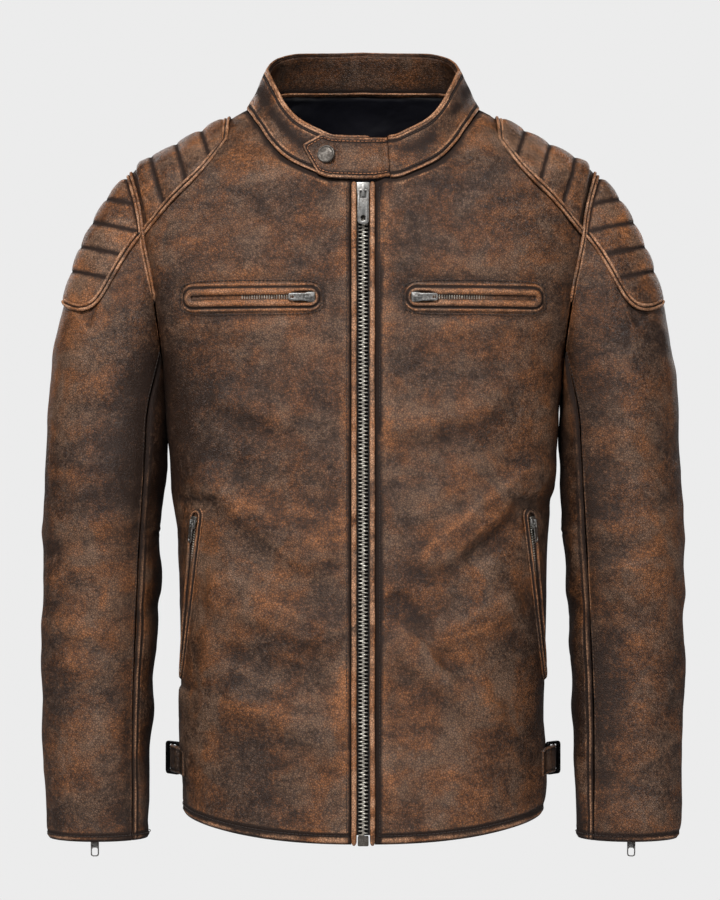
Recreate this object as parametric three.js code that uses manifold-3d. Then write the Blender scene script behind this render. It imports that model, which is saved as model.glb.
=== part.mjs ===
// A leather riding jacket in the shape it has when worn, built from its separate panels, linings, zips and straps.
// Millimetres, +Z up, the front faces -Y and the wearer's left is +X.
// The origin is the middle of the neck at the height of the shoulders, where a wearer or a hanger carries the jacket.
import * as THREE from "three";
import Module from "manifold-3d";
import { mergeVertices } from "three/addons/utils/BufferGeometryUtils.js";

const wasm = await Module();
wasm.setup();

// Driving dimensions.
const LEATHER = 1.6; // thickness of one panel
const LINING = 1.0;
const LINING_DEPTH = 7.0; // from the leather's face in to the lining's face
const BAG_DEPTH = 3.4; // from the leather's face in to a pocket bag's face
const PAD = 4.5; // how far the quilted pads stand out
const GAP = 0.4; // between pieces that touch
const RIDGE = { tipX: 213, tipZ: -52, neckX: 105, neckZ: 12 }; // the shoulder line, from the armhole to the neck
const ARMHOLE = { z: -145, halfHeight: 93, halfDepth: 51 };
const PIT_Z = ARMHOLE.z - ARMHOLE.halfHeight;
const HEM = { front: -650, side: -634, back: -642 };
const NECK = { front: -63, side: RIDGE.neckZ, back: 31 };
const ZIP = { topZ: -66, bottomZ: -642, topDepth: 98, slope: 0.0507 }; // the front edge runs straight, so that the slider can
const FRONT_EDGE = 10.4; // half the gap between the two front panels
const SLEEVE_SPLIT_Z = -290; // where the sleeve head becomes a plain tube
const CUFF_Z = -656;

// Sections of the body by height: half width, front and back depth, and how square the corners are.
const HALF_WIDTH = [[-660, 164], [-600, 165.5], [-480, 167], [-405, 169], [-350, 172], [-313, 175.5], [PIT_Z, 182],
  [-169, 200], [-105, 213], [RIDGE.tipZ, RIDGE.tipX], [-28, 176], [-8, 139], [RIDGE.neckZ, RIDGE.neckX], [24, 102], [33, 93]];
const FRONT_DEPTH = [[-660, 128.3], [-80, 98.9], [NECK.front, ZIP.topDepth], [-34, 80], [0, 57], [RIDGE.neckZ, 48], [33, 40]];
const BACK_DEPTH = [[-660, 120], [-450, 108], [-300, 114], [-200, 120], [-120, 116], [-60, 103], [0, 86], [33, 71]];
const SQUARENESS = [[-660, 2.4], [-300, 2.6], [-160, 2.6], [-50, 2.2], [0, 2.0], [33, 2.0]];
// The neckline's height by the angle round the body, from the centre front.
const NECKLINE = [[0, NECK.front], [6, -62], [10.5, -55.6], [14, -49.8], [23, -34.5], [35, -17], [45, -7], [52, -2], [65, 4], [78, 8], [90, NECK.side], [102, 17.5],
  [115, 23], [135, 28.5], [180, NECK.back]];
// The sleeve below its head: outer and inner edge, half depth and the middle's place front to back, by height.
const SLEEVE_OUTER = [[CUFF_Z, 287], [-626, 289], [-561, 292.5], [-478, 295], [-350, 292.5], [SLEEVE_SPLIT_Z, 290]];
const SLEEVE_INNER = [[CUFF_Z, 194.5], [-561, 194], [-478, 190.5], [-405, 187], [-350, 183.5], [SLEEVE_SPLIT_Z, 180]];
const SLEEVE_HALF_DEPTH = [[CUFF_Z, 40], [-561, 47], [-478, 54], [-405, 61], [SLEEVE_SPLIT_Z, 66]];
const SLEEVE_MIDDLE_Y = [[CUFF_Z, -24], [-561, -15], [-478, -8], [-405, -4], [SLEEVE_SPLIT_Z, 0]];

const rad = THREE.MathUtils.degToRad;
const lerp = THREE.MathUtils.lerp;
const vec = (x, y, z) => new THREE.Vector3(x, y, z);

// A smooth curve through [at, value] knots that never overshoots them.
function through(knots) {
  const slope = (i) => (knots[i + 1][1] - knots[i][1]) / (knots[i + 1][0] - knots[i][0]);
  const tangents = knots.map((_, i) => {
    if (i === 0) return slope(0);
    if (i === knots.length - 1) return slope(i - 1);
    const a = slope(i - 1), b = slope(i);
    return a * b <= 0 ? 0 : (2 * a * b) / (a + b);
  });
  return (at) => {
    const x = THREE.MathUtils.clamp(at, knots[0][0], knots.at(-1)[0]);
    let i = 0;
    while (i < knots.length - 2 && x > knots[i + 1][0]) i++;
    const h = knots[i + 1][0] - knots[i][0], t = (x - knots[i][0]) / h;
    return knots[i][1] * (1 + 2 * t) * (1 - t) ** 2 + tangents[i] * h * t * (1 - t) ** 2
      + knots[i + 1][1] * t * t * (3 - 2 * t) + tangents[i + 1] * h * t * t * (t - 1);
  };
}
const halfWidth = through(HALF_WIDTH), frontDepth = through(FRONT_DEPTH), backDepth = through(BACK_DEPTH);
const squareness = through(SQUARENESS), neckline = through(NECKLINE);
const sleeveOuter = through(SLEEVE_OUTER), sleeveInner = through(SLEEVE_INNER);
const sleeveHalfDepth = through(SLEEVE_HALF_DEPTH), sleeveMiddleY = through(SLEEVE_MIDDLE_Y);

// The body's surface by angle in degrees, 0 at the centre front, 90 at the side and 180 at the centre back.
function bodyAt(angle, z) {
  const power = 2 / squareness(z), a = rad(angle);
  const depth = angle <= 90 ? -frontDepth(z) : backDepth(z);
  return vec(halfWidth(z) * Math.sin(a) ** power, depth * Math.abs(Math.cos(a)) ** power, z);
}
// How far the front (side -1) or the back (side 1) of the body stands from the middle at x and z.
function bodyY(x, z, side) {
  const n = squareness(z), depth = side < 0 ? frontDepth(z) : backDepth(z);
  return side * depth * Math.max(0, 1 - (Math.abs(x) / halfWidth(z)) ** n) ** (1 / n);
}
const angleOfX = (x, z) => THREE.MathUtils.radToDeg(Math.asin(Math.min(1, (x / halfWidth(z)) ** (squareness(z) / 2))));
function hemZ(angle) {
  const a = rad(angle), ends = angle <= 90 ? HEM.front : HEM.back;
  return HEM.side + (ends - HEM.side) * Math.cos(a) ** 2;
}
// The armhole, turning from the shoulder's tip (0) by the front (90), the armpit (180) and the back (270).
function armholeAt(turn) {
  const y = -ARMHOLE.halfDepth * Math.sin(rad(turn)), z = ARMHOLE.z + ARMHOLE.halfHeight * Math.cos(rad(turn));
  const n = squareness(z), depth = y < 0 ? frontDepth(z) : backDepth(z);
  return vec(halfWidth(z) * (1 - (Math.abs(y) / depth) ** n) ** (1 / n), y, z);
}
// The angle at which a body row ends: at the armhole where the row crosses it, and otherwise at the side.
function armholeAngle(rowZ, back) {
  const inside = (angle) => {
    const p = bodyAt(angle, rowZ(angle));
    return (p.y / ARMHOLE.halfDepth) ** 2 + ((p.z - ARMHOLE.z) / ARMHOLE.halfHeight) ** 2 < 1;
  };
  let outer = 90, inner = back ? 165 : 15;
  if (!inside(outer)) return 90;
  for (let i = 0; i < 30; i++) {
    const middle = (outer + inner) / 2;
    if (inside(middle)) outer = middle; else inner = middle;
  }
  return outer;
}
// The sleeve's surface by the same turn; along is 0 at the armhole, 1 at SLEEVE_SPLIT_Z and 2 at the cuff.
function sleeveAt(turn, along) {
  const a = rad(turn);
  const ring = (z) => vec((sleeveOuter(z) + sleeveInner(z)) / 2 + (sleeveOuter(z) - sleeveInner(z)) / 2 * Math.cos(a),
    sleeveMiddleY(z) - sleeveHalfDepth(z) * Math.sin(a), z);
  if (along >= 1) return ring(lerp(SLEEVE_SPLIT_Z, CUFF_Z, along - 1));
  const start = armholeAt(turn), end = ring(SLEEVE_SPLIT_Z), up = (1 + Math.cos(a)) / 2;
  const reach = start.distanceTo(end);
  const leave = vec(0.82 * up, -0.25 * Math.sin(a), -lerp(1, 0.57, up)).normalize();
  const first = start.clone().addScaledVector(leave, reach * lerp(0.4, 0.18, up));
  const second = end.clone().add(vec(0, 0, reach * lerp(0.35, 0.44, up)));
  return new THREE.CubicBezierCurve3(start, first, second, end).getPoint(along);
}

// ---- solids ----

// Points on rows of a grid, from a function of two fractions listed in us and vs.
const gridOf = (us, vs, at) => vs.map((v) => us.map((u) => at(u, v)));
const steps = (from, to, count) => Array.from({ length: count + 1 }, (_, i) => lerp(from, to, i / count));
const mirrored = (rows, left) => (left ? rows : rows.map((row) => row.map((p) => vec(-p.x, p.y, p.z))));

// Which way each grid point faces. outwards is a point that the surface faces away from.
function facing(rows, centre) {
  const at = (j, i) => rows[THREE.MathUtils.clamp(j, 0, rows.length - 1)][THREE.MathUtils.clamp(i, 0, rows[0].length - 1)];
  return rows.map((row, j) => row.map((p, i) => {
    const n = at(j, i + 1).clone().sub(at(j, i - 1)).cross(at(j + 1, i).clone().sub(at(j - 1, i))).normalize();
    return n.dot(p.clone().sub(centre(p))) < 0 ? n.negate() : n;
  }));
}
const fromBodyAxis = (p) => vec(0, 0, p.z - 0.4 * Math.hypot(p.x, p.y) * (p.z > RIDGE.tipZ ? 1 : 0));
const fromSleeveAxis = (p) => vec(Math.sign(p.x) * 236, 0, Math.min(p.z, -200));

function geometryOf(vertices, faces) {
  const geometry = new THREE.BufferGeometry();
  geometry.setAttribute("position", new THREE.BufferAttribute(new Float32Array(vertices.flatMap((p) => [p.x, p.y, p.z])), 3));
  const volume = faces.reduce((sum, [a, b, c]) => sum + vertices[a].dot(vertices[b].clone().cross(vertices[c])), 0);
  geometry.setIndex(faces.flatMap(([a, b, c]) => (volume > 0 ? [a, b, c] : [a, c, b])));
  return geometry;
}
// A closed sheet between two offsets from a grid of points. A closed ring joins its last column to its first.
function sheet(rows, outside, inside, centre, ring = false) {
  const normals = facing(rows, centre);
  const height = rows.length, width = rows[0].length, layer = height * width;
  const level = (k, j) => (typeof k === "function" ? k(j) : k);
  const offset = (k) => rows.flatMap((row, j) => row.map((p, i) => p.clone().addScaledVector(normals[j][i], level(k, j))));
  const vertices = [...offset(outside), ...offset(inside)], faces = [];
  const id = (k, j, i) => k * layer + j * width + (i % width);
  // Each face is split along its shorter diagonal, so that two sheets on the same points fit each other.
  const across = (a, b) => vertices[a % layer].distanceTo(vertices[b % layer]);
  const quad = (a, b, c, d) => faces.push(...(across(a, c) <= across(b, d) ? [[a, b, c], [a, c, d]] : [[a, b, d], [b, c, d]]));
  const columns = ring ? width : width - 1;
  for (let j = 0; j < height - 1; j++) {
    for (let i = 0; i < columns; i++) {
      quad(id(0, j, i), id(0, j, i + 1), id(0, j + 1, i + 1), id(0, j + 1, i));
      quad(id(1, j, i), id(1, j + 1, i), id(1, j + 1, i + 1), id(1, j, i + 1));
    }
  }
  for (let i = 0; i < columns; i++) {
    quad(id(1, 0, i), id(1, 0, i + 1), id(0, 0, i + 1), id(0, 0, i));
    quad(id(0, height - 1, i), id(0, height - 1, i + 1), id(1, height - 1, i + 1), id(1, height - 1, i));
  }
  for (let j = 0; j < height - 1 && !ring; j++) {
    quad(id(0, j, 0), id(0, j + 1, 0), id(1, j + 1, 0), id(1, j, 0));
    quad(id(1, j, width - 1), id(1, j + 1, width - 1), id(0, j + 1, width - 1), id(0, j, width - 1));
  }
  return geometryOf(vertices, faces);
}
// A plate of the given outline, extruded by depth and placed with its x, y and z along three axes from an origin.
function plate(outline, depth, origin, right, up, out, holes = []) {
  const shape = new THREE.Shape(outline.map(([x, y]) => new THREE.Vector2(x, y)));
  for (const hole of holes) shape.holes.push(new THREE.Path(hole.map(([x, y]) => new THREE.Vector2(x, y))));
  const geometry = new THREE.ExtrudeGeometry(shape, { depth, bevelEnabled: false });
  return geometry.applyMatrix4(new THREE.Matrix4().makeBasis(right, up, out).setPosition(origin));
}
const rectangle = (x0, y0, x1, y1) => [[x0, y0], [x1, y0], [x1, y1], [x0, y1]];
function rounded(halfX, halfY, radius, count = 4, middleY = 0) {
  const corners = [[1, 1], [-1, 1], [-1, -1], [1, -1]];
  return corners.flatMap(([sx, sy], corner) => steps(0, 90, count).map((a) => {
    const turn = rad(a + 90 * corner);
    return [sx * (halfX - radius) + radius * Math.cos(turn), middleY + sy * (halfY - radius) + radius * Math.sin(turn)];
  }));
}
function solidOf(geometry) {
  const bare = geometry.clone();
  bare.deleteAttribute("normal");
  bare.deleteAttribute("uv");
  const merged = mergeVertices(bare, 1e-4);
  return new wasm.Manifold(new wasm.Mesh({
    numProp: 3, vertProperties: merged.attributes.position.array, triVerts: new Uint32Array(merged.index.array) }));
}
function geometryFrom(solid) {
  const mesh = solid.getMesh(), geometry = new THREE.BufferGeometry();
  geometry.setAttribute("position", new THREE.BufferAttribute(new Float32Array(mesh.vertProperties), 3));
  geometry.setIndex(new THREE.BufferAttribute(mesh.triVerts, 1));
  return geometry;
}
const cut = (geometry, ...tools) => geometryFrom(tools.reduce((s, t) => s.subtract(solidOf(t)), solidOf(geometry)));
const joined = (...pieces) => geometryFrom(pieces.map(solidOf).reduce((a, b) => a.add(b)));

// ---- materials ----

const material = (color, roughness, metalness = 0) => new THREE.MeshStandardMaterial({ color, roughness, metalness });
const LEATHER_BROWN = material(0x5a3a28, 0.55), LEATHER_EDGE = material(0x9a6238, 0.6), LEATHER_DARK = material(0x2c2328, 0.6);
const SATIN = material(0x0d0d12, 0.5), TAPE = material(0x1b1613, 0.9), NICKEL = material(0x8c8a84, 0.35, 1);
const BLACK_METAL = material(0x101012, 0.4, 1);

const jacket = new THREE.Group();
function add(name, geometry, finish) {
  const mesh = new THREE.Mesh(geometry, finish);
  mesh.name = name;
  jacket.add(mesh);
  return mesh;
}
const SIDES = [["left", 1], ["right", -1]];

// ---- zip frames: a place on the jacket with the direction the chain runs in and the way it faces ----

function frameAt(origin, along, out) {
  const up = along.clone().normalize(), face = out.clone().addScaledVector(up, -out.dot(up)).normalize();
  return { origin, up, out: face, right: up.clone().cross(face).normalize() };
}
const placed = (frame, x, y, z) => frame.origin.clone().addScaledVector(frame.right, x).addScaledVector(frame.up, y).addScaledVector(frame.out, z);
const platedOn = (frame, outline, z0, depth, holes) => plate(outline, depth, placed(frame, 0, 0, z0), frame.right, frame.up, frame.out, holes);

// Main zip: its line is the straight edge of the two front panels, its up points from the hem to the neck.
const zipDown = vec(0, -ZIP.slope, -1).normalize();
const mainZip = frameAt(vec(0, -ZIP.topDepth - (NECK.front - ZIP.topZ) * ZIP.slope, ZIP.topZ), zipDown.clone().negate(), vec(0, -1, 0));
const ZIP_LENGTH = (ZIP.topZ - ZIP.bottomZ) / -zipDown.z;

// ---- body panels ----

// Rows as a fraction of the way from the hem to the neckline. One passes through each end of the armhole.
const rowOf = (z) => (z - HEM.side) / (NECK.side - HEM.side);
const pitRow = rowOf(PIT_Z), tipRow = rowOf(RIDGE.tipZ) + 1e-5;
const panelRows = [0, 0.12, 0.28, 0.44, pitRow - 0.04, pitRow, pitRow + 0.012, pitRow + 0.05, 0.73, 0.8,
  tipRow - 0.046, tipRow - 0.02, tipRow - 0.005, tipRow, 0.94, 1];
const frontColumns = [0, 0.032, 0.12, 0.26, 0.42, 0.58, 0.73, 0.87, 1];
const BACK_COLUMNS = 6; // from the centre back to one side
const rowHeight = (v) => (angle) => lerp(hemZ(angle), neckline(angle), v);
function frontPoint(u, v) {
  const z = rowHeight(v), start = angleOfX(FRONT_EDGE, z(0));
  const angle = lerp(start, armholeAngle(z, false), u);
  const p = bodyAt(angle, z(angle));
  if (u === 0) p.x = FRONT_EDGE;
  return p;
}
function backPoint(u, v) {
  const z = rowHeight(v), angle = lerp(180, armholeAngle(z, true), Math.abs(u));
  const p = bodyAt(angle, z(angle));
  return vec(u < 0 ? -p.x : p.x, p.y, z(angle));
}

// Chest pockets: the zip lies on an arc about an upright axis, and its slider turns about that axis.
const CHEST = { z: -168, innerX: 38, outerX: 161, halfHeight: 13, slot: 5.6, chainHalf: 3 };
function chestArc() {
  const a = [CHEST.innerX, bodyY(CHEST.innerX, CHEST.z, -1)], c = [CHEST.outerX, bodyY(CHEST.outerX, CHEST.z, -1)];
  const middleX = (a[0] + c[0]) / 2, b = [middleX, bodyY(middleX, CHEST.z, -1)];
  const d = 2 * (a[0] * (b[1] - c[1]) + b[0] * (c[1] - a[1]) + c[0] * (a[1] - b[1]));
  const square = ([x, y]) => x * x + y * y;
  const x = (square(a) * (b[1] - c[1]) + square(b) * (c[1] - a[1]) + square(c) * (a[1] - b[1])) / d;
  const y = (square(a) * (c[0] - b[0]) + square(b) * (a[0] - c[0]) + square(c) * (b[0] - a[0])) / d;
  return { x, y, radius: Math.hypot(a[0] - x, a[1] - y) };
}
const arc = chestArc();
const arcTurn = (x) => Math.asin((x - arc.x) / arc.radius);
const onArc = (x, out, z, sign) => {
  const t = arcTurn(x);
  return vec(sign * (arc.x + (arc.radius + out) * Math.sin(t)), arc.y - (arc.radius + out) * Math.cos(t), z);
};
// Side pockets: the zip lies on a straight line from its top to its bottom end.
const SIDE_POCKET = { topX: 149, topZ: -361, bottomX: 164.4, bottomZ: -508, slot: 6, raise: 2 };
function sideZipFrame(sign) {
  const top = vec(sign * SIDE_POCKET.topX, bodyY(SIDE_POCKET.topX, SIDE_POCKET.topZ, -1), SIDE_POCKET.topZ);
  const bottom = vec(sign * SIDE_POCKET.bottomX, bodyY(SIDE_POCKET.bottomX, SIDE_POCKET.bottomZ, -1), SIDE_POCKET.bottomZ);
  const frame = frameAt(top, top.clone().sub(bottom), vec(sign * 0.88, -0.47, 0));
  return { ...frame, length: top.distanceTo(bottom) };
}
// The slots that the pocket zips sit in.
function pocketSlots(sign) {
  const chest = sheet(mirrored(gridOf(steps(CHEST.innerX + 3, CHEST.outerX - 3, 5), [-CHEST.slot, CHEST.slot],
    (x, h) => onArc(x, 0, CHEST.z + h, 1)), sign > 0), 14, -14, fromBodyAxis);
  const frame = sideZipFrame(sign);
  const side = platedOn(frame, rectangle(-SIDE_POCKET.slot, -frame.length + 1, SIDE_POCKET.slot, -1), -9, 22);
  return [chest, side];
}
for (const [hand, sign] of SIDES) {
  const front = sheet(mirrored(gridOf(frontColumns, panelRows, frontPoint), sign > 0), 0, -LEATHER, fromBodyAxis);
  add(`front_panel_${hand}`, cut(front, ...pocketSlots(sign)), LEATHER_BROWN);
}
// The side and shoulder seams keep a small gap between the front and the back panels.
const seamGap = (rows) => rows.map((row) => row.map((p) => vec(p.x, p.y + 0.5, p.z)));
add("back_panel", sheet(seamGap(gridOf(steps(-1, 1, 2 * BACK_COLUMNS), panelRows, backPoint)), 0, -LEATHER, fromBodyAxis), LEATHER_BROWN);

// The body lining is one piece that runs from one front edge round the back to the other, open at the armholes.
const liningRows = [0.015, 0.25, 0.5, 0.63, 0.74, 0.83, 0.89, 0.94, 0.98];
const liningTurns = [...steps(angleOfX(FRONT_EDGE + 13, -350), 90, 5), ...steps(90, 180, 5).slice(1)];
const liningRing = [...liningTurns, ...liningTurns.toReversed().slice(1).map((a) => -a)];
const lining = sheet(gridOf(liningRing, liningRows, (turn, v) => {
  const angle = Math.abs(turn), z = rowHeight(v)(angle), p = bodyAt(angle, z);
  return vec(turn < 0 ? -p.x : p.x, p.y, z);
}), -LINING_DEPTH, -LINING_DEPTH - LINING, fromBodyAxis);
const armOpening = (sign) => plate(steps(0, 340, 17).map((a) => [(ARMHOLE.halfDepth + 1) * Math.cos(rad(a)),
  ARMHOLE.z + (ARMHOLE.halfHeight + 1) * Math.sin(rad(a))]), 140, vec(sign > 0 ? 110 : -250, 0, 0), vec(0, 1, 0), vec(0, 0, 1), vec(1, 0, 0));
add("body_lining", cut(lining, armOpening(1), armOpening(-1)), SATIN);

// ---- sleeves ----

const FRONT_SEAM = 136, BACK_SEAM = 280; // turns at which the top and under sleeves meet
const seamSlit = 0.9; // half the gap between the two halves, in degrees
const sleeveRows = [0.012, 0.15, 0.32, 0.52, 0.75, 1, 1.3, 1.65, 2];
const topTurns = steps(BACK_SEAM - 360 + seamSlit, FRONT_SEAM - seamSlit, 10);
const underTurns = steps(FRONT_SEAM + seamSlit, BACK_SEAM - seamSlit, 5);
for (const [hand, sign] of SIDES) {
  const make = (turns) => mirrored(gridOf(turns, sleeveRows, sleeveAt), sign > 0);
  add(`sleeve_top_${hand}`, sheet(make(topTurns), 0, -LEATHER, fromSleeveAxis), LEATHER_BROWN);
  add(`sleeve_under_${hand}`, sheet(make(underTurns), 0, -LEATHER, fromSleeveAxis), LEATHER_BROWN);
  const lining = mirrored(gridOf(steps(0, 324, 9), [0.07, 0.3, 0.6, 1, 1.5, 1.97], sleeveAt), sign > 0);
  add(`sleeve_lining_${hand}`, sheet(lining, -LINING_DEPTH + 2, -LINING_DEPTH + 1, fromSleeveAxis, true), SATIN);
}

// ---- quilted pads ----

// The body pad's lower seam, as the x of its point for each x along the shoulder line, and the height there.
const PAD_EDGE = { shoulderX: [124, 150, 182, 212], edgeX: [125, 142, 171, 198], edgeZ: [-24, -49, -77, -108] };
const edgeOf = (values) => through(PAD_EDGE.shoulderX.map((x, i) => [x, values[i]]));
const padEdgeX = edgeOf(PAD_EDGE.edgeX), padEdgeZ = edgeOf(PAD_EDGE.edgeZ);
const ridgeZ = (x) => { // height of the shoulder line over x
  let low = RIDGE.tipZ, high = RIDGE.neckZ + 20;
  for (let i = 0; i < 40; i++) {
    const middle = (low + high) / 2;
    if (halfWidth(middle) > x) low = middle; else high = middle;
  }
  return low;
};
function shoulderPadPoint(q, shoulderX) { // q runs from -1 at the front edge over the shoulder to 1 at the back edge
  const x = lerp(shoulderX, padEdgeX(shoulderX), q * q), top = ridgeZ(x);
  const z = lerp(top - 0.2, padEdgeZ(shoulderX), q * q);
  return vec(x, bodyY(x, z, q < 0 ? -1 : 1), z);
}
const ARM_PAD = { halfTurn: 64, endTurn: 14, along: 0.6, squareness: 7 }; // the sleeve pad's half turn, and that of its rounded end
function sleevePadPoint(q, part) {
  const half = lerp(ARM_PAD.endTurn, ARM_PAD.halfTurn, Math.sqrt(1 - part ** ARM_PAD.squareness));
  return sleeveAt(q * half, lerp(0.035, ARM_PAD.along, part));
}
// The pads lie on the leather, so each is cut to fit a slightly larger copy of what is under it.
function underBody(sign) {
  const around = [...frontColumns.map((u) => [frontPoint, u]), ...steps(1, 0, BACK_COLUMNS).map((u) => [backPoint, u])];
  const rows = panelRows.map((v) => around.map(([at, u]) => at(u, v).add(vec(0, at === backPoint ? 0.5 : 0, 0))));
  return sheet(mirrored(rows, sign > 0), GAP, -12, fromBodyAxis);
}
for (const [hand, sign] of SIDES) {
  const onShoulder = mirrored(gridOf([-1, -0.75, -0.5, -0.25, 0, 0.25, 0.5, 0.75, 1], steps(124, 206, 5), shoulderPadPoint), sign > 0);
  add(`shoulder_pad_${hand}`, cut(sheet(onShoulder, PAD, -1.5, fromBodyAxis), underBody(sign)), LEATHER_BROWN);
  const onSleeve = mirrored(gridOf(steps(-1, 1, 8), [0, 0.25, 0.5, 0.78, 0.93, 1], sleevePadPoint), sign > 0);
  add(`sleeve_pad_${hand}`, sheet(onSleeve, PAD, 1.6, fromSleeveAxis), LEATHER_BROWN);
}

// ---- collar ----

const COLLAR = { height: 40, lean: [[0, 16], [90, 26], [180, 21]], thickness: 2.2, facing: 1.4 };
const collarLean = through(COLLAR.lean);
function collarPoint(angle, up) { // angle runs from -180 to 180 round the neck, 0 at the centre front; up from 0 to 1
  const part = Math.abs(angle), base = bodyAt(part, neckline(part));
  const out = vec(base.x / 105, (base.y + 13) / 83, 0).normalize();
  const lean = rad(collarLean(part)), rise = COLLAR.height * (0.025 + 0.975 * up);
  const p = base.add(vec(-out.x * Math.sin(lean) * rise, -out.y * Math.sin(lean) * rise, Math.cos(lean) * rise));
  return vec(angle < 0 ? -p.x : p.x, p.y, p.z);
}
const TAB = { rootX: 24, tipX: -60, lift: 4.2, thickness: 2 }; // the snap tab runs from the left collar across the centre front
const collarAngle = (x) => Math.sign(x) * angleOfX(Math.abs(x), NECK.front + 6);
const fromNeck = (p) => vec(0, -13, p.z - 12);
const seamAngles = [...frontColumns.slice(1).map((u) => lerp(angleOfX(FRONT_EDGE, NECK.front), 90, u)), ...steps(90, 180, BACK_COLUMNS).slice(1, -1)];
const collarTurns = [collarAngle(TAB.rootX), ...seamAngles.slice(1), 180, ...seamAngles.toReversed().map((a) => 360 - a), 360 - collarAngle(6)];
const unwrapped = (a) => (a > 180 ? a - 360 : a);
const collarRows = (angles, ups) => gridOf(angles, ups, (a, up) => collarPoint(unwrapped(a), up));
add("collar_band", sheet(collarRows(collarTurns, [0, 0.5, 1]), 0, -COLLAR.thickness, fromNeck), LEATHER_BROWN);
add("collar_facing", sheet(collarRows(collarTurns, [0.06, 0.5, 0.96]), -COLLAR.thickness - GAP,
  -COLLAR.thickness - GAP - COLLAR.facing, fromNeck), LEATHER_BROWN);
// The tab lifts clear of the collar's other end as it leaves its root, and ends in a blunt point.
const tabReach = (x, up) => (x > TAB.tipX + 20 ? x : TAB.tipX + 20 - 20 * (1 - Math.abs(2 * up - 1)) * (TAB.tipX + 20 - x) / 20);
const tabColumns = [TAB.rootX - GAP, 15, 8, 0, -12, -24, TAB.tipX + 20, TAB.tipX];
const tabGrid = gridOf(tabColumns, [0, 0.5, 1], (x, up) => {
  const reach = tabReach(x, up);
  const p = collarPoint(collarAngle(reach), lerp(x > 10 ? 0.05 : -0.02, 0.97, up));
  const clear = TAB.lift * THREE.MathUtils.smoothstep(TAB.rootX - x, 0, 12);
  return p.add(vec(0, -clear, 0));
});
add("collar_tab", sheet(tabGrid, 0, -TAB.thickness, fromNeck), LEATHER_BROWN);
// Press stud: the cap is on the tab, and the post is on the collar under it.
const SNAP = { x: -33, up: 0.5, cap: 8, post: 3.6 };
const snapSeat = collarPoint(collarAngle(SNAP.x), SNAP.up);
const snapOut = vec(snapSeat.x / 105, (snapSeat.y + 13) / 83, Math.sin(rad(16))).normalize();
const snapFrame = frameAt(snapSeat, vec(0, 0, 1), snapOut);
function turned(profile, frame, z) {
  const lathe = new THREE.LatheGeometry(profile.map(([r, h]) => new THREE.Vector2(r, h)), 16);
  return lathe.applyMatrix4(new THREE.Matrix4().makeBasis(frame.right.clone().negate(), frame.out, frame.up).setPosition(placed(frame, 0, 0, z)));
}
const cap = turned([[0, -1], [SNAP.cap, -1], [SNAP.cap, 1.2], [6.4, 2.3], [0, 2.7]], snapFrame, TAB.lift);
add("snap_cap", cut(cap, sheet(tabGrid, 0.3, -TAB.thickness - 4, fromNeck)), NICKEL);
const post = turned([[0, -1.5], [SNAP.post, -1.5], [SNAP.post, 0.6], [0, 0.6]], snapFrame, 0);
add("snap_stud", cut(post, sheet(collarRows(collarTurns, [0, 0.5, 1]), 0.3, -5, fromNeck)), NICKEL);

// ---- main zip ----

const CHAIN = { half: 4, thickness: 2.6 }; // one half of the closed chain
const TAPE_WIDTH = 15.5;
for (const [hand, sign] of SIDES) {
  const strip = (from, to) => rectangle(Math.min(sign * from, sign * to), -ZIP_LENGTH, Math.max(sign * from, sign * to), 0);
  add(`zip_teeth_${hand}`, platedOn(mainZip, strip(-0.2 + GAP, CHAIN.half), -4.6, CHAIN.thickness), NICKEL);
  add(`zip_tape_${hand}`, platedOn(mainZip, strip(CHAIN.half + GAP, CHAIN.half + TAPE_WIDTH), -3.8, 0.8), TAPE);
  // The folded leather edge beside the chain.
  add(`zip_edge_${hand}`, platedOn(mainZip, rectangle(...(sign > 0 ? [6.1, -ZIP_LENGTH - 6, 10.1, 1] : [-10.1, -ZIP_LENGTH - 6, -6.1, 1])),
    -2.6, 3.8), LEATHER_EDGE);
}
add("zip_box", platedOn(mainZip, rounded(4.8, 4.5, 1, 2, -ZIP_LENGTH - 5), -5.2, 4), NICKEL);

// A slider is a cap over the chain with a flange down each side, and a bridge on top that its pull hangs on.
function slider(frame, size, y, z) {
  const { halfWidth: w, length, height } = size;
  const nose = [[-w, 0], [-w, -length * 0.55], [-w * 0.7, -length], [w * 0.7, -length], [w, -length * 0.55], [w, 0]];
  const cap = platedOn(frame, nose.map(([x, up]) => [x, up + y]), z, 1.4);
  const flange = (x) => platedOn(frame, rectangle(x, y - length * 0.55, x + size.flange, y), z - size.flangeDrop, size.flangeDrop + 0.7);
  const bridge = platedOn(frame, rectangle(-size.bridge, y - length * 0.86, size.bridge, y - length * 0.16), z + 0.7, height - 0.7);
  const window = plate(rectangle(-length * 0.58, 1.5, -length * 0.36, height - size.roof), 4 * size.bridge,
    placed(frame, -2 * size.bridge, y, z), frame.up, frame.out, frame.right);
  return joined(cap, flange(-w), flange(w - size.flange), cut(bridge, window));
}
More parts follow.
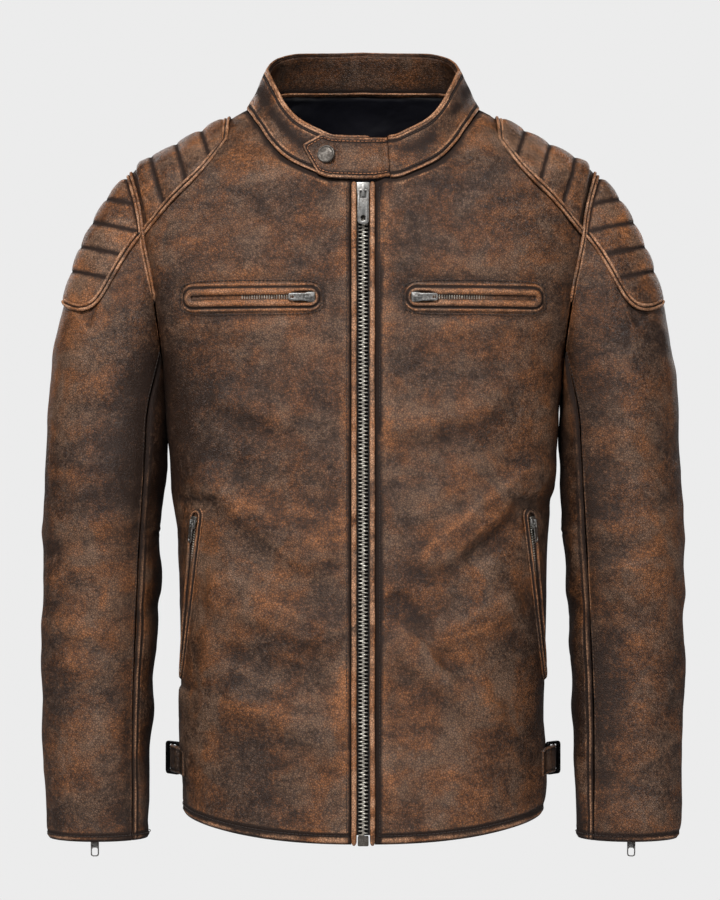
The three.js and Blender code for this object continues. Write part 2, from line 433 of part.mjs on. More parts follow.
// A pull is a strap whose top bar passes under the bridge, with a hole near its rounded end.
function pull(frame, on, size, y, z) {
  const { half, length, bar } = size, top = y - on.length * 0.47 + bar / 2;
  const outline = rounded(half, length / 2, half * 0.55, 2, top - length / 2);
  const slot = rectangle(-half * 0.55, top - on.length * 0.39 - bar - 0.8, half * 0.55, top - bar).toReversed();
  const eye = size.eye ?? [0.45, 0.09, 0.83];
  const hole = rounded(half * eye[0], length * eye[1], half * 0.3, 1, top - length * eye[2]).toReversed();
  return platedOn(frame, outline, z + (1.5 + on.height - on.roof - size.thickness) / 2, size.thickness, [slot, hole]);
}
const MAIN_SLIDER = { halfWidth: 5.6, length: 15, height: 5, bridge: 1.2, roof: 1, flange: 1.2, flangeDrop: 1.2 };
const MAIN_PULL = { half: 5, length: 31, bar: 1.4, thickness: 1.2 };
add("zip_slider", slider(mainZip, MAIN_SLIDER, 0, -1.4), NICKEL);
add("zip_pull", pull(mainZip, MAIN_SLIDER, MAIN_PULL, 0, -1.4), NICKEL);

// ---- pocket zips ----

const SMALL_SLIDER = { halfWidth: 4.2, length: 10, height: 3.8, bridge: 0.9, roof: 0.7, flange: 0.8, flangeDrop: 0.8 };
const CUFF_PULL = { half: 3.8, length: 29, bar: 0.9, thickness: 0.8, eye: [0.7, 0.12, 0.845] };
const SMALL_PULL = { half: 3.2, length: 19, bar: 0.9, thickness: 0.8 };
for (const [hand, sign] of SIDES) {
  // Chest pocket: a welt frame, the chain in its slot, and a flat bag behind.
  const span = steps(CHEST.innerX, CHEST.outerX, 7);
  const onChest = (heights, xs = span) => mirrored(gridOf(xs, heights, (x, h) => vec(x, bodyY(x, CHEST.z + h, -1), CHEST.z + h)), sign > 0);
  const welt = sheet(onChest([-CHEST.halfHeight, 0, CHEST.halfHeight]), 2.8, 0.6, fromBodyAxis);
  add(`chest_pocket_welt_${hand}`, cut(welt, pocketSlots(sign)[0]), LEATHER_EDGE);
  const chain = mirrored(gridOf(steps(CHEST.innerX + 4.5, CHEST.outerX - 4.5, 8), [CHEST.z - CHEST.chainHalf, CHEST.z + CHEST.chainHalf],
    (x, z) => onArc(x, 0, z, 1)), sign > 0);
  add(`chest_zip_${hand}`, sheet(chain, 0.4, -1.6, fromBodyAxis), NICKEL);
  add(`chest_pocket_bag_${hand}`, sheet(onChest([-120, -55, 9]), -BAG_DEPTH, -BAG_DEPTH - 1, fromBodyAxis), SATIN);
  const innerEnd = CHEST.innerX + 5, t = arcTurn(innerEnd);
  const out = vec(sign * Math.sin(t), -Math.cos(t), 0), along = vec(-sign * Math.cos(t), -Math.sin(t), 0);
  const chestFrame = frameAt(onArc(innerEnd, 0, CHEST.z, sign), along, out);
  add(`chest_slider_${hand}`, slider(chestFrame, SMALL_SLIDER, 0, 0.9), NICKEL);
  add(`chest_pull_${hand}`, pull(chestFrame, SMALL_SLIDER, SMALL_PULL, 0, 0.9), NICKEL);
  // Side pocket: the same on a slant.
  const frame = sideZipFrame(sign), reach = frame.length;
  const aboutZip = (offsets, ends) => gridOf(offsets, ends, (across, down) => {
    const part = down / reach, z = lerp(SIDE_POCKET.topZ, SIDE_POCKET.bottomZ, part);
    const zipAngle = angleOfX(lerp(SIDE_POCKET.topX, SIDE_POCKET.bottomX, part), z);
    return bodyAt(zipAngle + across / 2.1, z);
  });
  const sideWelt = sheet(mirrored(aboutZip([-10, 0, 10], steps(-5, reach + 5, 6)), sign > 0), 2.6, 0.7, fromBodyAxis);
  add(`side_pocket_welt_${hand}`, cut(sideWelt, pocketSlots(sign)[1]), LEATHER_EDGE);
  add(`side_zip_${hand}`, platedOn(frame, rectangle(-2.6, -reach + 2.5, 2.6, -2.5), SIDE_POCKET.raise - 1.6, 1.6), NICKEL);
  const bag = aboutZip(steps(-108, 4, 6), steps(-2, reach + 30, 3));
  add(`side_pocket_bag_${hand}`, sheet(mirrored(bag, sign > 0), -BAG_DEPTH, -BAG_DEPTH - 1, fromBodyAxis), SATIN);
  add(`side_slider_${hand}`, slider(frame, SMALL_SLIDER, -3, SIDE_POCKET.raise + 0.6), NICKEL);
  add(`side_pull_${hand}`, pull(frame, SMALL_SLIDER, SMALL_PULL, -3, SIDE_POCKET.raise + 0.6), NICKEL);
  // Cuff: the zip runs up the back seam, and its slider rests at the cuff's edge with the pull hanging below.
  const low = sleeveAt(BACK_SEAM, 2), high = sleeveAt(BACK_SEAM, 1.66);
  low.x *= sign;
  high.x *= sign;
  const cuff = frameAt(low, high.clone().sub(low), vec(0, 1, 0)), run = low.distanceTo(high);
  add(`cuff_zip_${hand}`, platedOn(cuff, rectangle(-3, 1, 3, run), 0.9, 1.6), NICKEL);
  const above = { ...cuff, origin: placed(cuff, 0, SMALL_SLIDER.length, 0) };
  add(`cuff_slider_${hand}`, slider(above, SMALL_SLIDER, 0, 3), NICKEL);
  add(`cuff_pull_${hand}`, pull(above, SMALL_SLIDER, CUFF_PULL, 0, 3), NICKEL);
}

// ---- waist adjusters ----

// Each side has a short anchor on the front, a buckle frame hinged on it, and a strap from the back through the buckle.
const STRAP = { z: -585, half: 12, thickness: 2.2, frameAngle: 88 };
for (const [hand, sign] of SIDES) {
  const band = (from, to, count) => mirrored(gridOf(steps(from, to, count), [-STRAP.half, 0, STRAP.half],
    (angle, h) => bodyAt(angle, STRAP.z + h)), sign > 0);
  add(`strap_anchor_${hand}`, sheet(band(73, 82, 3), 1 + STRAP.thickness, 1, fromBodyAxis), LEATHER_DARK);
  add(`waist_strap_${hand}`, sheet(band(95, 135, 6), 1 + STRAP.thickness, 1, fromBodyAxis), LEATHER_DARK);
  const hold = bodyAt(STRAP.frameAngle, STRAP.z);
  hold.x *= sign;
  const frame = frameAt(hold, vec(0, 0, 1), vec(0.77 * sign, -0.64, 0));
  add(`buckle_frame_${hand}`, platedOn(frame, rounded(10, 15, 3, 2), 9, 3, [rounded(6.6, 12.4, 1.5, 2).toReversed()]), BLACK_METAL);
}

export default jacket;
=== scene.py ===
import math

import bmesh
import bpy
import numpy as np
from mathutils import Matrix, Vector


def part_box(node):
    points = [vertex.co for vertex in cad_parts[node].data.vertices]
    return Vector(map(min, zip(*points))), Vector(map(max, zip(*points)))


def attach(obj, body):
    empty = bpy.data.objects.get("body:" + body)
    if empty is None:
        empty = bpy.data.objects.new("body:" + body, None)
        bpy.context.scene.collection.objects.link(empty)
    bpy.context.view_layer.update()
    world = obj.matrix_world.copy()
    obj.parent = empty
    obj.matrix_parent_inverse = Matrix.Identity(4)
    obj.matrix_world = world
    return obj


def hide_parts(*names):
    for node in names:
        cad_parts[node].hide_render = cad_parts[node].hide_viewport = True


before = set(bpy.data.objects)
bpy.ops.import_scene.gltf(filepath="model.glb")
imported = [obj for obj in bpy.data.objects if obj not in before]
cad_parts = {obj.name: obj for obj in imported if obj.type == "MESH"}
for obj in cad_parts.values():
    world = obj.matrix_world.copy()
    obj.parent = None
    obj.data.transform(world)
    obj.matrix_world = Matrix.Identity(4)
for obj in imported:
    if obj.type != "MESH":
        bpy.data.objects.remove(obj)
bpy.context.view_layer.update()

MM = 0.001  # pieces are worked out in millimetres and made in metres
SIDES = (("left", 1), ("right", -1))
ROOT = "garment"
CAMERA_PLACE = (-0.0028, -2.76, -0.3036)
LENS, SENSOR = 120, 36
BACKDROP = 0.838  # how bright the backdrop is to the camera
ROOM_LIGHT = (0.10, 0.10, 0.105)  # the dim light that reaches the jacket from all round
FLOOR_FADE = (1.9, 3.4)  # where the floor starts to fade and where it is gone, in metres
SHOULDER_LINES = (124, 151.4, 178.4, 205.2, 236)  # sewn lines, so four rolls
UPPER_ARM_LINES = (100, 131.3, 155.6, 180.2, 204.3, 236)  # five rolls
SHOULDER_CROWN, UPPER_ARM_CROWN = 3.4, 2.8

# ---------------------------------------------------------------- camera, floor and light


def studio():
    scene = bpy.context.scene
    camera = bpy.data.objects.new("camera", bpy.data.cameras.new("camera"))
    scene.collection.objects.link(camera)
    camera.location = CAMERA_PLACE
    camera.rotation_euler = (math.radians(90), 0, 0)
    camera.data.sensor_fit = "VERTICAL"
    camera.data.sensor_height = SENSOR
    camera.data.lens = LENS
    scene.camera = camera
    scene.view_settings.view_transform = "Standard"
    world = bpy.data.worlds.new("studio")
    world.use_nodes = True
    nodes, links = world.node_tree.nodes, world.node_tree.links
    seen, lit = nodes["Background"], nodes.new("ShaderNodeBackground")
    seen.inputs["Color"].default_value = (BACKDROP, BACKDROP, BACKDROP, 1)
    lit.inputs["Color"].default_value = (*ROOM_LIGHT, 1)
    path, either = nodes.new("ShaderNodeLightPath"), nodes.new("ShaderNodeMixShader")
    links.new(path.outputs["Is Camera Ray"], either.inputs[0])
    links.new(lit.outputs[0], either.inputs[1])
    links.new(seen.outputs[0], either.inputs[2])
    links.new(either.outputs[0], nodes["World Output"].inputs["Surface"])
    scene.world = world
    for name, place, aim, size, power in (
            ("key", (-0.5, -2.1, 1.9), (0, 0, -0.3), 0.7, 126),
            ("fill_left", (-2.4, -1.9, 0.3), (-0.1, 0, -0.35), 1.1, 27),
            ("fill_right", (2.4, -1.9, 0.2), (0.1, 0, -0.35), 1.1, 29),
            ("back_left", (-1.0, 2.4, 0.6), (0, 0, -0.3), 1.2, 9),
            ("back_right", (1.1, 2.4, 0.5), (0, 0, -0.3), 1.2, 8)):
        lamp = bpy.data.objects.new(name, bpy.data.lights.new(name, "AREA"))
        lamp.data.size = size
        lamp.data.energy = power
        lamp.location = place
        lamp.rotation_euler = (Vector(aim) - Vector(place)).to_track_quat("-Z", "Y").to_euler()
        scene.collection.objects.link(lamp)
    # The floor is a pale disc well below the jacket, which fades into the backdrop.
    f = Finish("pale_floor", **{"Base Color": (0.72, 0.72, 0.72), "Roughness": 0.9})
    reach = f.node("ShaderNodeVectorMath", {"operation": "LENGTH"}, {0: f.place}, 1)
    clear = f.tree.nodes.new("ShaderNodeBsdfTransparent")
    fade = f.tree.nodes.new("ShaderNodeMixShader")
    end = next(n for n in f.tree.nodes if n.type == "OUTPUT_MATERIAL")
    f.tree.links.new(reach.between(*FLOOR_FADE).socket, fade.inputs[0])
    f.tree.links.new(f.shader.outputs[0], fade.inputs[1])
    f.tree.links.new(clear.outputs[0], fade.inputs[2])
    f.tree.links.new(fade.outputs[0], end.inputs["Surface"])
    form = bmesh.new()
    bmesh.ops.create_circle(form, cap_ends=True, radius=3.5, segments=96,
        matrix=Matrix.Translation((0, 0, -1.3)))
    mesh = bpy.data.meshes.new("floor")
    form.to_mesh(mesh)
    form.free()
    mesh.materials.append(f.material)
    floor = bpy.data.objects.new("floor", mesh)
    scene.collection.objects.link(floor)


# ---------------------------------------------------------------- finishes


class Value:
    """A shader socket that Python's operators work on."""

    def __init__(self, finish, socket):
        self.finish, self.socket = finish, socket

    def math(self, operation, *operands):
        return self.finish.node("ShaderNodeMath", {"operation": operation}, dict(enumerate(operands)))

    def __add__(self, other): return self.math("ADD", self, other)
    def __radd__(self, other): return self.math("ADD", other, self)
    def __sub__(self, other): return self.math("SUBTRACT", self, other)
    def __mul__(self, other): return self.math("MULTIPLY", self, other)
    def __rmul__(self, other): return self.math("MULTIPLY", other, self)
    def __rsub__(self, other): return self.finish.node("ShaderNodeMath", {"operation": "SUBTRACT"},
        {0: other, 1: self})

    def between(self, low, high):
        """0 below low, 1 above high and smooth from one to the other."""
        return self.finish.node("ShaderNodeMapRange", {"interpolation_type": "SMOOTHSTEP"},
                                {"Value": self, "From Min": low, "From Max": high})


class Finish:
    """One material, whose nodes are made by expressions on values."""

    def __init__(self, name, **constants):
        self.material = bpy.data.materials.new(name)
        self.material.use_nodes = True
        self.tree = self.material.node_tree
        self.tree.nodes.clear()
        self.shader = self.tree.nodes.new("ShaderNodeBsdfPrincipled")
        end = self.tree.nodes.new("ShaderNodeOutputMaterial")
        self.tree.links.new(self.shader.outputs[0], end.inputs["Surface"])
        self.set(self.shader, constants)
        self.place = self.node("ShaderNodeTexCoord", {}, {}, "Object")

    def set(self, node, sockets):
        for key, value in sockets.items():
            socket = node.inputs[key]
            if isinstance(value, Value):
                self.tree.links.new(value.socket, socket)
            elif isinstance(value, tuple) and len(value) == 3 and socket.type == "RGBA":
                socket.default_value = (*value, 1)
            else:
                socket.default_value = value

    def node(self, kind, settings, sockets, output=0):
        made = self.tree.nodes.new(kind)
        for key, value in settings.items():
            setattr(made, key, value)
        self.set(made, sockets)
        return Value(self, made.outputs[output])

    def noise(self, size, detail=3.0, roughness=0.55, distortion=0.0, place=None):
        """Smooth noise whose blotches are about size metres across."""
        return self.node("ShaderNodeTexNoise", {},
            {"Vector": place or self.place, "Scale": 1 / size, "Detail": detail,
                                                    "Roughness": roughness, "Distortion": distortion})

    def stretched(self, x, y, z):
        return self.node("ShaderNodeMapping", {}, {"Vector": self.place, "Scale": (x, y, z)})

    def painted(self, name):
        return self.node("ShaderNodeAttribute", {"attribute_name": name}, {}, "Fac")

    def mix(self, factor, a, b):
        return self.node("ShaderNodeMix", {"data_type": "RGBA"}, {0: factor, 6: a, 7: b}, 2)

    def bump(self, height, strength, distance, under=None):
        sockets = {"Height": height, "Strength": strength, "Distance": distance}
        if under:
            sockets["Normal"] = under
        return self.node("ShaderNodeBump", {}, sockets)

    def done(self, **sockets):
        self.set(self.shader, {key.replace("_", " "): value for key, value in sockets.items()})
        return self.material


def aged_leather(name, shade=1.0, tan=1.0, grain=1.0):
    """Waxed leather: painted shade in its folds, grooves and seams, brown where handled, orange where rubbed,
    tan on worn edges, and light specks that are partly dust and partly painted sheen.
    """
    f = Finish(name, **{"Specular IOR Level": 0.24})
    tone = lambda r, g, b: (r * shade, g * shade, b * shade)
    rub, painted_shade = f.painted("rub"), f.painted("painted_shade")
    clouds = f.noise(0.13, 3, 0.6, 0.6)
    streaks = f.noise(0.045, 4, 0.62, 0.8, f.stretched(1, 1, 1.8))
    hue = f.noise(0.032, 3, 0.6, 0.5)
    mottle = f.noise(0.010, 4, 0.72, 0.3)
    specks = f.noise(0.0030, 3, 0.78)
    grains = f.noise(0.0018, 2, 0.65)
    pebbles = f.node("ShaderNodeTexVoronoi", {"feature": "DISTANCE_TO_EDGE"},
        {"Vector": f.place, "Scale": 470.0}, 0)
    creases = f.node("ShaderNodeTexVoronoi", {"feature": "DISTANCE_TO_EDGE"},
                     {"Vector": f.node("ShaderNodeVectorMath", {"operation": "ADD"},
                         {0: f.stretched(1, 1, 1.25), 1: f.node(
                         "ShaderNodeTexNoise", {}, {"Vector": f.place, "Scale": 90.0, "Detail": 2.0},
                             1)}), "Scale": 95.0}, 0)
    # Painted shade darkens the warm brown in folds, grooves and seams.
    warm = clouds * 1.0 + streaks * 0.75 + mottle * 0.45 + specks * 1.0 - 1.68 + rub * 0.35 - painted_shade * 0.45
    light = f.mix(hue.between(0.38, 0.64), tone(0.198, 0.074, 0.025), tone(0.168, 0.093, 0.055))
    brown = f.mix(warm.between(-0.40, 0.26), tone(0.020, 0.0080, 0.0032), light)
    orange = (warm + (hue - 0.5) * -0.9 + rub * 0.25).between(0.10, 0.55)
    rubbed = f.mix(orange * 0.7, brown, tone(0.34, 0.130, 0.045))
    worn = (rub + (specks - 0.5) * 0.8 + (mottle - 0.5) * 0.7).between(0.55, 1.10) * tan
    edges = f.mix(worn, rubbed, tone(0.47, 0.245, 0.135))
    # Near-black painted shade in grooves, creases and seams, and on the body's sides and the sleeves' inner
    # sides.
    dark = (painted_shade + (specks - 0.5) * 0.25).between(0.25, 0.95)
    shaded = f.mix(dark * 0.95, edges, tone(0.013, 0.0055, 0.0028))
    valley = 1.0 - pebbles.between(0.03, 0.20)
    # Light neutral specks on the grain: partly dust, partly a painted sheen, kept out of the painted shade.
    dust_and_sheen_mask = (grains + (mottle - 0.5) * 0.6 - painted_shade * 0.3).between(0.50, 0.74)
    dust_and_sheen = f.mix(dust_and_sheen_mask * 0.22, shaded, tone(0.240, 0.165, 0.128))
    colour = f.mix(valley * 0.62, dust_and_sheen, tone(0.012, 0.0060, 0.0040))
    fine = f.bump(specks * 0.5 + pebbles.between(0.0, 0.3) * 0.8, 0.6 * grain, 0.0005)
    coarse = f.bump(creases.between(0.0, 0.25) * 0.5 + mottle * 0.6, 0.35 * grain, 0.0011, fine)
    return f.done(Base_Color=colour, Roughness=0.37 + (specks - 0.5) * 0.3 + painted_shade * 0.5, Normal=coarse)


def satin(name, colour):
    f = Finish(name, **{"Specular IOR Level": 0.2, "Sheen Weight": 0.01, "Sheen Roughness": 0.4})
    folds = f.noise(0.06, 3, 0.5, 0.5)
    threads = f.node("ShaderNodeTexWave", {"bands_direction": "DIAGONAL"},
        {"Vector": f.place, "Scale": 900.0, "Distortion": 1.0})
    cloth = f.mix(folds, tuple(c * 0.7 for c in colour), tuple(c * 1.5 for c in colour))
    return f.done(Base_Color=cloth, Roughness=0.42 + threads * 0.1,
                  Normal=f.bump(threads, 0.1, 0.0002, f.bump(folds, 0.5, 0.012)))


def woven(name, colour):
    f = Finish(name, **{"Sheen Weight": 0.3, "Sheen Roughness": 0.5})
    across = f.node("ShaderNodeTexWave", {"bands_direction": "X"},
        {"Vector": f.place, "Scale": 260.0, "Distortion": 0.4})
    along = f.node("ShaderNodeTexWave", {"bands_direction": "Z"},
        {"Vector": f.place, "Scale": 420.0, "Distortion": 0.4})
    weave = across * 0.5 + along * 0.5
    fluff = f.noise(0.001, 2)
    cloth = f.mix(weave * fluff, tuple(c * 0.5 for c in colour), tuple(c * 1.6 for c in colour))
    return f.done(Base_Color=cloth, Roughness=0.8 + fluff * 0.15, Normal=f.bump(weave, 0.5, 0.0003))


def metal(name, bright, dull, rough):
    f = Finish(name, Metallic=1.0)
    tarnish = f.noise(0.004, 4, 0.65)
    scratches = f.noise(0.0008, 3, 0.6, 0, f.stretched(1, 1, 6))
    pitted = (tarnish * 0.7 + scratches * 0.3).between(0.42, 0.62)
    return f.done(Base_Color=f.mix(pitted, dull, bright),
        Roughness=rough + 0.18 - pitted * 0.2 + scratches * 0.08,
                  Normal=f.bump(tarnish * 0.6 + scratches * 0.4, 0.25, 0.0002))


def thread(name, colour):
    f = Finish(name, **{"Sheen Weight": 0.03})
    dust = f.noise(0.004, 3)
    twist = f.node("ShaderNodeTexWave", {"bands_direction": "DIAGONAL"},
        {"Vector": f.place, "Scale": 1500.0, "Distortion": 0.5})
    shade = f.mix(dust.between(0.35, 0.65), tuple(c * 0.55 for c in colour), tuple(c * 1.3 for c in colour))
    return f.done(Base_Color=shade, Roughness=0.75 + twist * 0.1, Normal=f.bump(twist, 0.4, 0.0002))


# ---------------------------------------------------------------- the jacket's surface, as the solids have it


def through(*knots):
    """A smooth curve through (at, value) knots that never overshoots them."""
    x, y = np.array(knots, float).T
    slope = np.diff(y) / np.diff(x)
    a, b = slope[:-1], slope[1:]
    middle = np.where(a * b > 0, 2 * a * b / np.where(a * b > 0, a + b, 1), 0)
    tangent = np.concatenate([slope[:1], middle, slope[-1:]])

    def at(value):
        value = np.clip(value, x[0], x[-1])
        i = np.clip(np.searchsorted(x, value, "right") - 1, 0, len(x) - 2)
        h = x[i + 1] - x[i]
        t = (value - x[i]) / h
        return (y[i] * (1 + 2 * t) * (1 - t) ** 2 + tangent[i] * h * t * (1 - t) ** 2
                + y[i + 1] * t * t * (3 - 2 * t) + tangent[i + 1] * h * t * t * (t - 1))
    return at


TIP_Z, PIT_Z, NECK_FRONT, NECK_SIDE, NECK_BACK = -52, -238, -63, 12, 31
ARM_Z, ARM_HIGH, ARM_DEEP = -145, 93, 51
HEM_FRONT, HEM_SIDE, HEM_BACK = -650, -634, -642
FRONT_EDGE = 10.4
SPLIT_Z, CUFF_Z = -290, -656
half_width = through((-660, 164), (-600, 165.5), (-480, 167), (-405, 169), (-350, 172), (-313, 175.5),
    (PIT_Z, 182),
                     (-169, 200), (-105, 213), (TIP_Z, 213), (-28, 176), (-8, 139), (NECK_SIDE, 105),
                         (24, 102), (33, 93))
front_depth = through((-660, 128.3), (-80, 98.9), (NECK_FRONT, 98), (-34, 80), (0, 57), (NECK_SIDE, 48),
    (33, 40))
back_depth = through((-660, 120), (-450, 108), (-300, 114), (-200, 120), (-120, 116), (-60, 103), (0, 86),
    (33, 71))
squareness = through((-660, 2.4), (-300, 2.6), (-160, 2.6), (-50, 2.2), (0, 2.0), (33, 2.0))
neckline = through((0, NECK_FRONT), (6, -62), (10.5, -55.6), (14, -49.8), (23, -34.5), (35, -17),
    (45, -7), (52, -2), (65, 4), (78, 8),
                   (90, NECK_SIDE), (102, 17.5), (115, 23), (135, 28.5), (180, NECK_BACK))
sleeve_outer = through((CUFF_Z, 287), (-626, 289), (-561, 292.5), (-478, 295), (-350, 292.5), (SPLIT_Z, 290))
sleeve_inner = through((CUFF_Z, 194.5), (-561, 194), (-478, 190.5), (-405, 187), (-350, 183.5),
    (SPLIT_Z, 180))
sleeve_depth = through((CUFF_Z, 40), (-561, 47), (-478, 54), (-405, 61), (SPLIT_Z, 66))
sleeve_middle = through((CUFF_Z, -24), (-561, -15), (-478, -8), (-405, -4), (SPLIT_Z, 0))
collar_lean = through((0, 16), (90, 26), (180, 21))

unit = lambda v: v / np.maximum(np.linalg.norm(v, axis=-1, keepdims=True), 1e-9)
point = lambda *xyz: np.stack(np.broadcast_arrays(*[np.asarray(c, float) for c in xyz]), axis=-1)
lerp = lambda a, b, t: a + (b - a) * t
smooth = lambda t: np.clip(t, 0, 1) ** 2 * (3 - 2 * np.clip(t, 0, 1))
bell = lambda d, width: np.exp(-(d / width) ** 2)


def body_at(angle, z):
    a = np.radians(angle)
    power = 2 / squareness(z)
    depth = np.where(np.asarray(angle) <= 90, -front_depth(z), back_depth(z))
    return point(half_width(z) * np.clip(np.sin(a), 0, 1) ** power, depth * np.abs(np.cos(a)) ** power, z)


def body_y(x, z, side):
    n = squareness(z)
    depth = np.where(np.asarray(side) < 0, -front_depth(z), back_depth(z))
    return depth * np.clip(1 - (np.abs(x) / half_width(z)) ** n, 0, None) ** (1 / n)


angle_of_x = lambda x, z: np.degrees(np.arcsin(np.clip((x / half_width(z)) ** (squareness(z) / 2), 0, 1)))


def hem_z(angle):
    return HEM_SIDE + (np.where(np.asarray(angle) <= 90, HEM_FRONT, HEM_BACK)
        - HEM_SIDE) * np.cos(np.radians(angle)) ** 2


row_z = lambda angle, v: lerp(hem_z(angle), neckline(angle), v)
row_of = lambda z: (z - HEM_SIDE) / (NECK_SIDE - HEM_SIDE)


def armhole_at(turn):
    y = -ARM_DEEP * np.sin(np.radians(turn))
    z = ARM_Z + ARM_HIGH * np.cos(np.radians(turn))
    n = squareness(z)
    depth = np.where(y < 0, front_depth(z), back_depth(z))
    return point(half_width(z) * (1 - (np.abs(y) / depth) ** n) ** (1 / n), y, z)


def armhole_angle(v, back):
    def inside(angle):
        p = body_at(angle, row_z(angle, v))
        return (p[..., 1] / ARM_DEEP) ** 2 + ((p[..., 2] - ARM_Z) / ARM_HIGH) ** 2 < 1
    outer, inner = np.full_like(v, 90.0), np.full_like(v, 165.0 if back else 15.0)
    open_rows = inside(outer)
    for _ in range(40):
        middle = (outer + inner) / 2
        hit = inside(middle)
        outer, inner = np.where(hit, middle, outer), np.where(hit, inner, middle)
    return np.where(open_rows, outer, 90.0)


def sleeve_at(turn, along):
    turn, along = np.broadcast_arrays(np.asarray(turn, float), np.asarray(along, float))
    a = np.radians(turn)

    def ring(z):
        return point((sleeve_outer(z) + sleeve_inner(z)) / 2
            + (sleeve_outer(z) - sleeve_inner(z)) / 2 * np.cos(a),
                     sleeve_middle(z) - sleeve_depth(z) * np.sin(a), z)
    start, end = armhole_at(turn), ring(np.full_like(turn, SPLIT_Z))
    up = (1 + np.cos(a)) / 2
    reach = np.linalg.norm(end - start, axis=-1)
    leave = unit(point(0.82 * up, -0.25 * np.sin(a), -lerp(1, 0.57, up)))
    first = start + leave * (reach * lerp(0.4, 0.18, up))[..., None]
    second = end + point(0 * up, 0 * up, reach * lerp(0.35, 0.44, up))
    t = np.clip(along, 0, 1)[..., None]
    head = start * (1 - t) ** 3 + 3 * first * t * (1 - t) ** 2 + 3 * second * t * t * (1 - t) + end * t ** 3
    tube = ring(lerp(SPLIT_Z, CUFF_Z, np.clip(along - 1, 0, 1)))
    return np.where((along >= 1)[..., None], tube, head)


def collar_at(angle, up):
    part = np.abs(angle)
    base = body_at(part, neckline(part))
    out = unit(point(base[..., 0] / 105, (base[..., 1] + 13) / 83, 0))
    lean, rise = np.radians(collar_lean(part)), 40 * (0.025 + 0.975 * np.asarray(up))
    p = base + point(-out[..., 0] * np.sin(lean) * rise, -out[..., 1] * np.sin(lean) * rise,
        np.cos(lean) * rise)
    p[..., 0] *= np.where(np.asarray(angle) < 0, -1, 1)
    return p


collar_angle = lambda x: np.sign(x) * angle_of_x(np.abs(x), NECK_FRONT + 6)

# ---------------------------------------------------------------- relief


def noise(p, size, seed=0):
    """Smooth noise from -1 to 1 with features about size millimetres (or three sizes) across."""
    q = p / np.asarray(size, float) + seed * 17.31
    cell = np.floor(q)
    t = q - cell
    t = t * t * (3 - 2 * t)
    total = 0
    for dx in (0, 1):
        for dy in (0, 1):
            for dz in (0, 1):
                corner = cell + (dx, dy, dz)
                h = np.sin(corner @ np.array([127.1, 311.7, 74.7])) * 43758.5453
                weight = ((t[..., 0] if dx else 1 - t[..., 0]) * (t[..., 1] if dy else 1 - t[..., 1])
                          * (t[..., 2] if dz else 1 - t[..., 2]))
                total = total + weight * ((h - np.floor(h)) * 2 - 1)
    return total


def softened(h, passes=6):
    for _ in range(passes):
        padded = np.pad(h, 1, "edge")
        h = (padded[:-2, 1:-1] + padded[2:, 1:-1] + padded[1:-1, :-2] + padded[1:-1, 2:] + 4 * h) / 8
    return h


def fold(p, x0, z0, x1, z1, width, height):
    """A rounded fold between two points of the front or back view."""
    along = np.array([x1 - x0, z1 - z0])
    reach = np.linalg.norm(along)
    across = np.stack([p[..., 0] - x0, p[..., 2] - z0], -1)
    t = across @ along / reach ** 2
    bent = across - np.clip(t, 0, 1)[..., None] * along
    bow = 6 * noise(p, 40, 5)
    return height * bell(np.linalg.norm(bent, axis=-1) + bow * 0.4,
        width) * smooth(np.minimum(t, 1 - t) * 3 + 0.55)


def creased(p, seed=0, lively=1.0):
    """The unevenness of soft, old leather: broad waves, wrinkles and thin creases."""
    h = 0.8 + 2.6 * noise(p, (95, 95, 75), seed) + 1.9 * noise(p, (48, 48, 36), seed + 1) + 0.6 * noise(p,
        19, seed + 2) + 0.17 * noise(p, 8, seed + 3)
    lines = bell(noise(p, (60, 60, 34), seed + 4), 0.075) * smooth(noise(p, 70, seed + 6) * 1.5 + 0.4)
    return lively * (h - 0.28 * lines)


# ---------------------------------------------------------------- meshes


def facing(p, centre):
    du = np.gradient(p, axis=1)
    dv = np.gradient(p, axis=0)
    n = unit(np.cross(du, dv))
    flip = np.sum(n * (p - centre), -1) < 0
    return np.where(flip[..., None], -n, n)


def from_body(p):
    deep = 0.4 * np.hypot(p[..., 0], p[..., 1]) * (p[..., 2] > TIP_Z)
    return point(0, 0, p[..., 2] - deep)


def from_sleeve(p):
    return point(np.sign(p[..., 0]) * 236, 0, np.minimum(p[..., 2], -200))


from_neck = lambda p: point(0, -13, p[..., 2] - 12)


def lengths(p):
    """Each grid point's distance from the two ends of its row and of its column."""
    du = np.concatenate([np.zeros((p.shape[0], 1)),
        np.cumsum(np.linalg.norm(np.diff(p, axis=1), axis=-1), 1)], 1)
    dv = np.concatenate([np.zeros((1, p.shape[1])),
        np.cumsum(np.linalg.norm(np.diff(p, axis=0), axis=-1), 0)], 0)
    return {"start": du, "end": du[:, -1:] - du, "bottom": dv, "top": dv[-1:] - dv}


def mesh_of(name, vertices, faces, painted=None, uv=None):
    mesh = bpy.data.meshes.new(name)
    mesh.from_pydata((np.asarray(vertices) * MM).tolist(), [], faces)
    for key, values in (painted or {}).items():
        mesh.attributes.new(key, "FLOAT", "POINT").data.foreach_set("value",
            np.asarray(values, np.float32).ravel())
    if uv is not None:
        layer = mesh.uv_layers.new(name="UVMap")
        corner = np.empty(len(mesh.loops), np.int32)
        mesh.loops.foreach_get("vertex_index", corner)
        layer.data.foreach_set("uv", (np.asarray(uv)[corner] * MM).astype(np.float32).ravel())
    mesh.polygons.foreach_set("use_smooth", [True] * len(mesh.polygons))
    mesh.update()
    return mesh


def placed(name, mesh, finish, body=ROOT, replaces=()):
    piece = bpy.data.objects.new(name, mesh)
    bpy.context.scene.collection.objects.link(piece)
    mesh.materials.clear()
    mesh.materials.append(finish)
    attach(piece, body)
    if replaces:
        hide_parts(*replaces)
    return piece


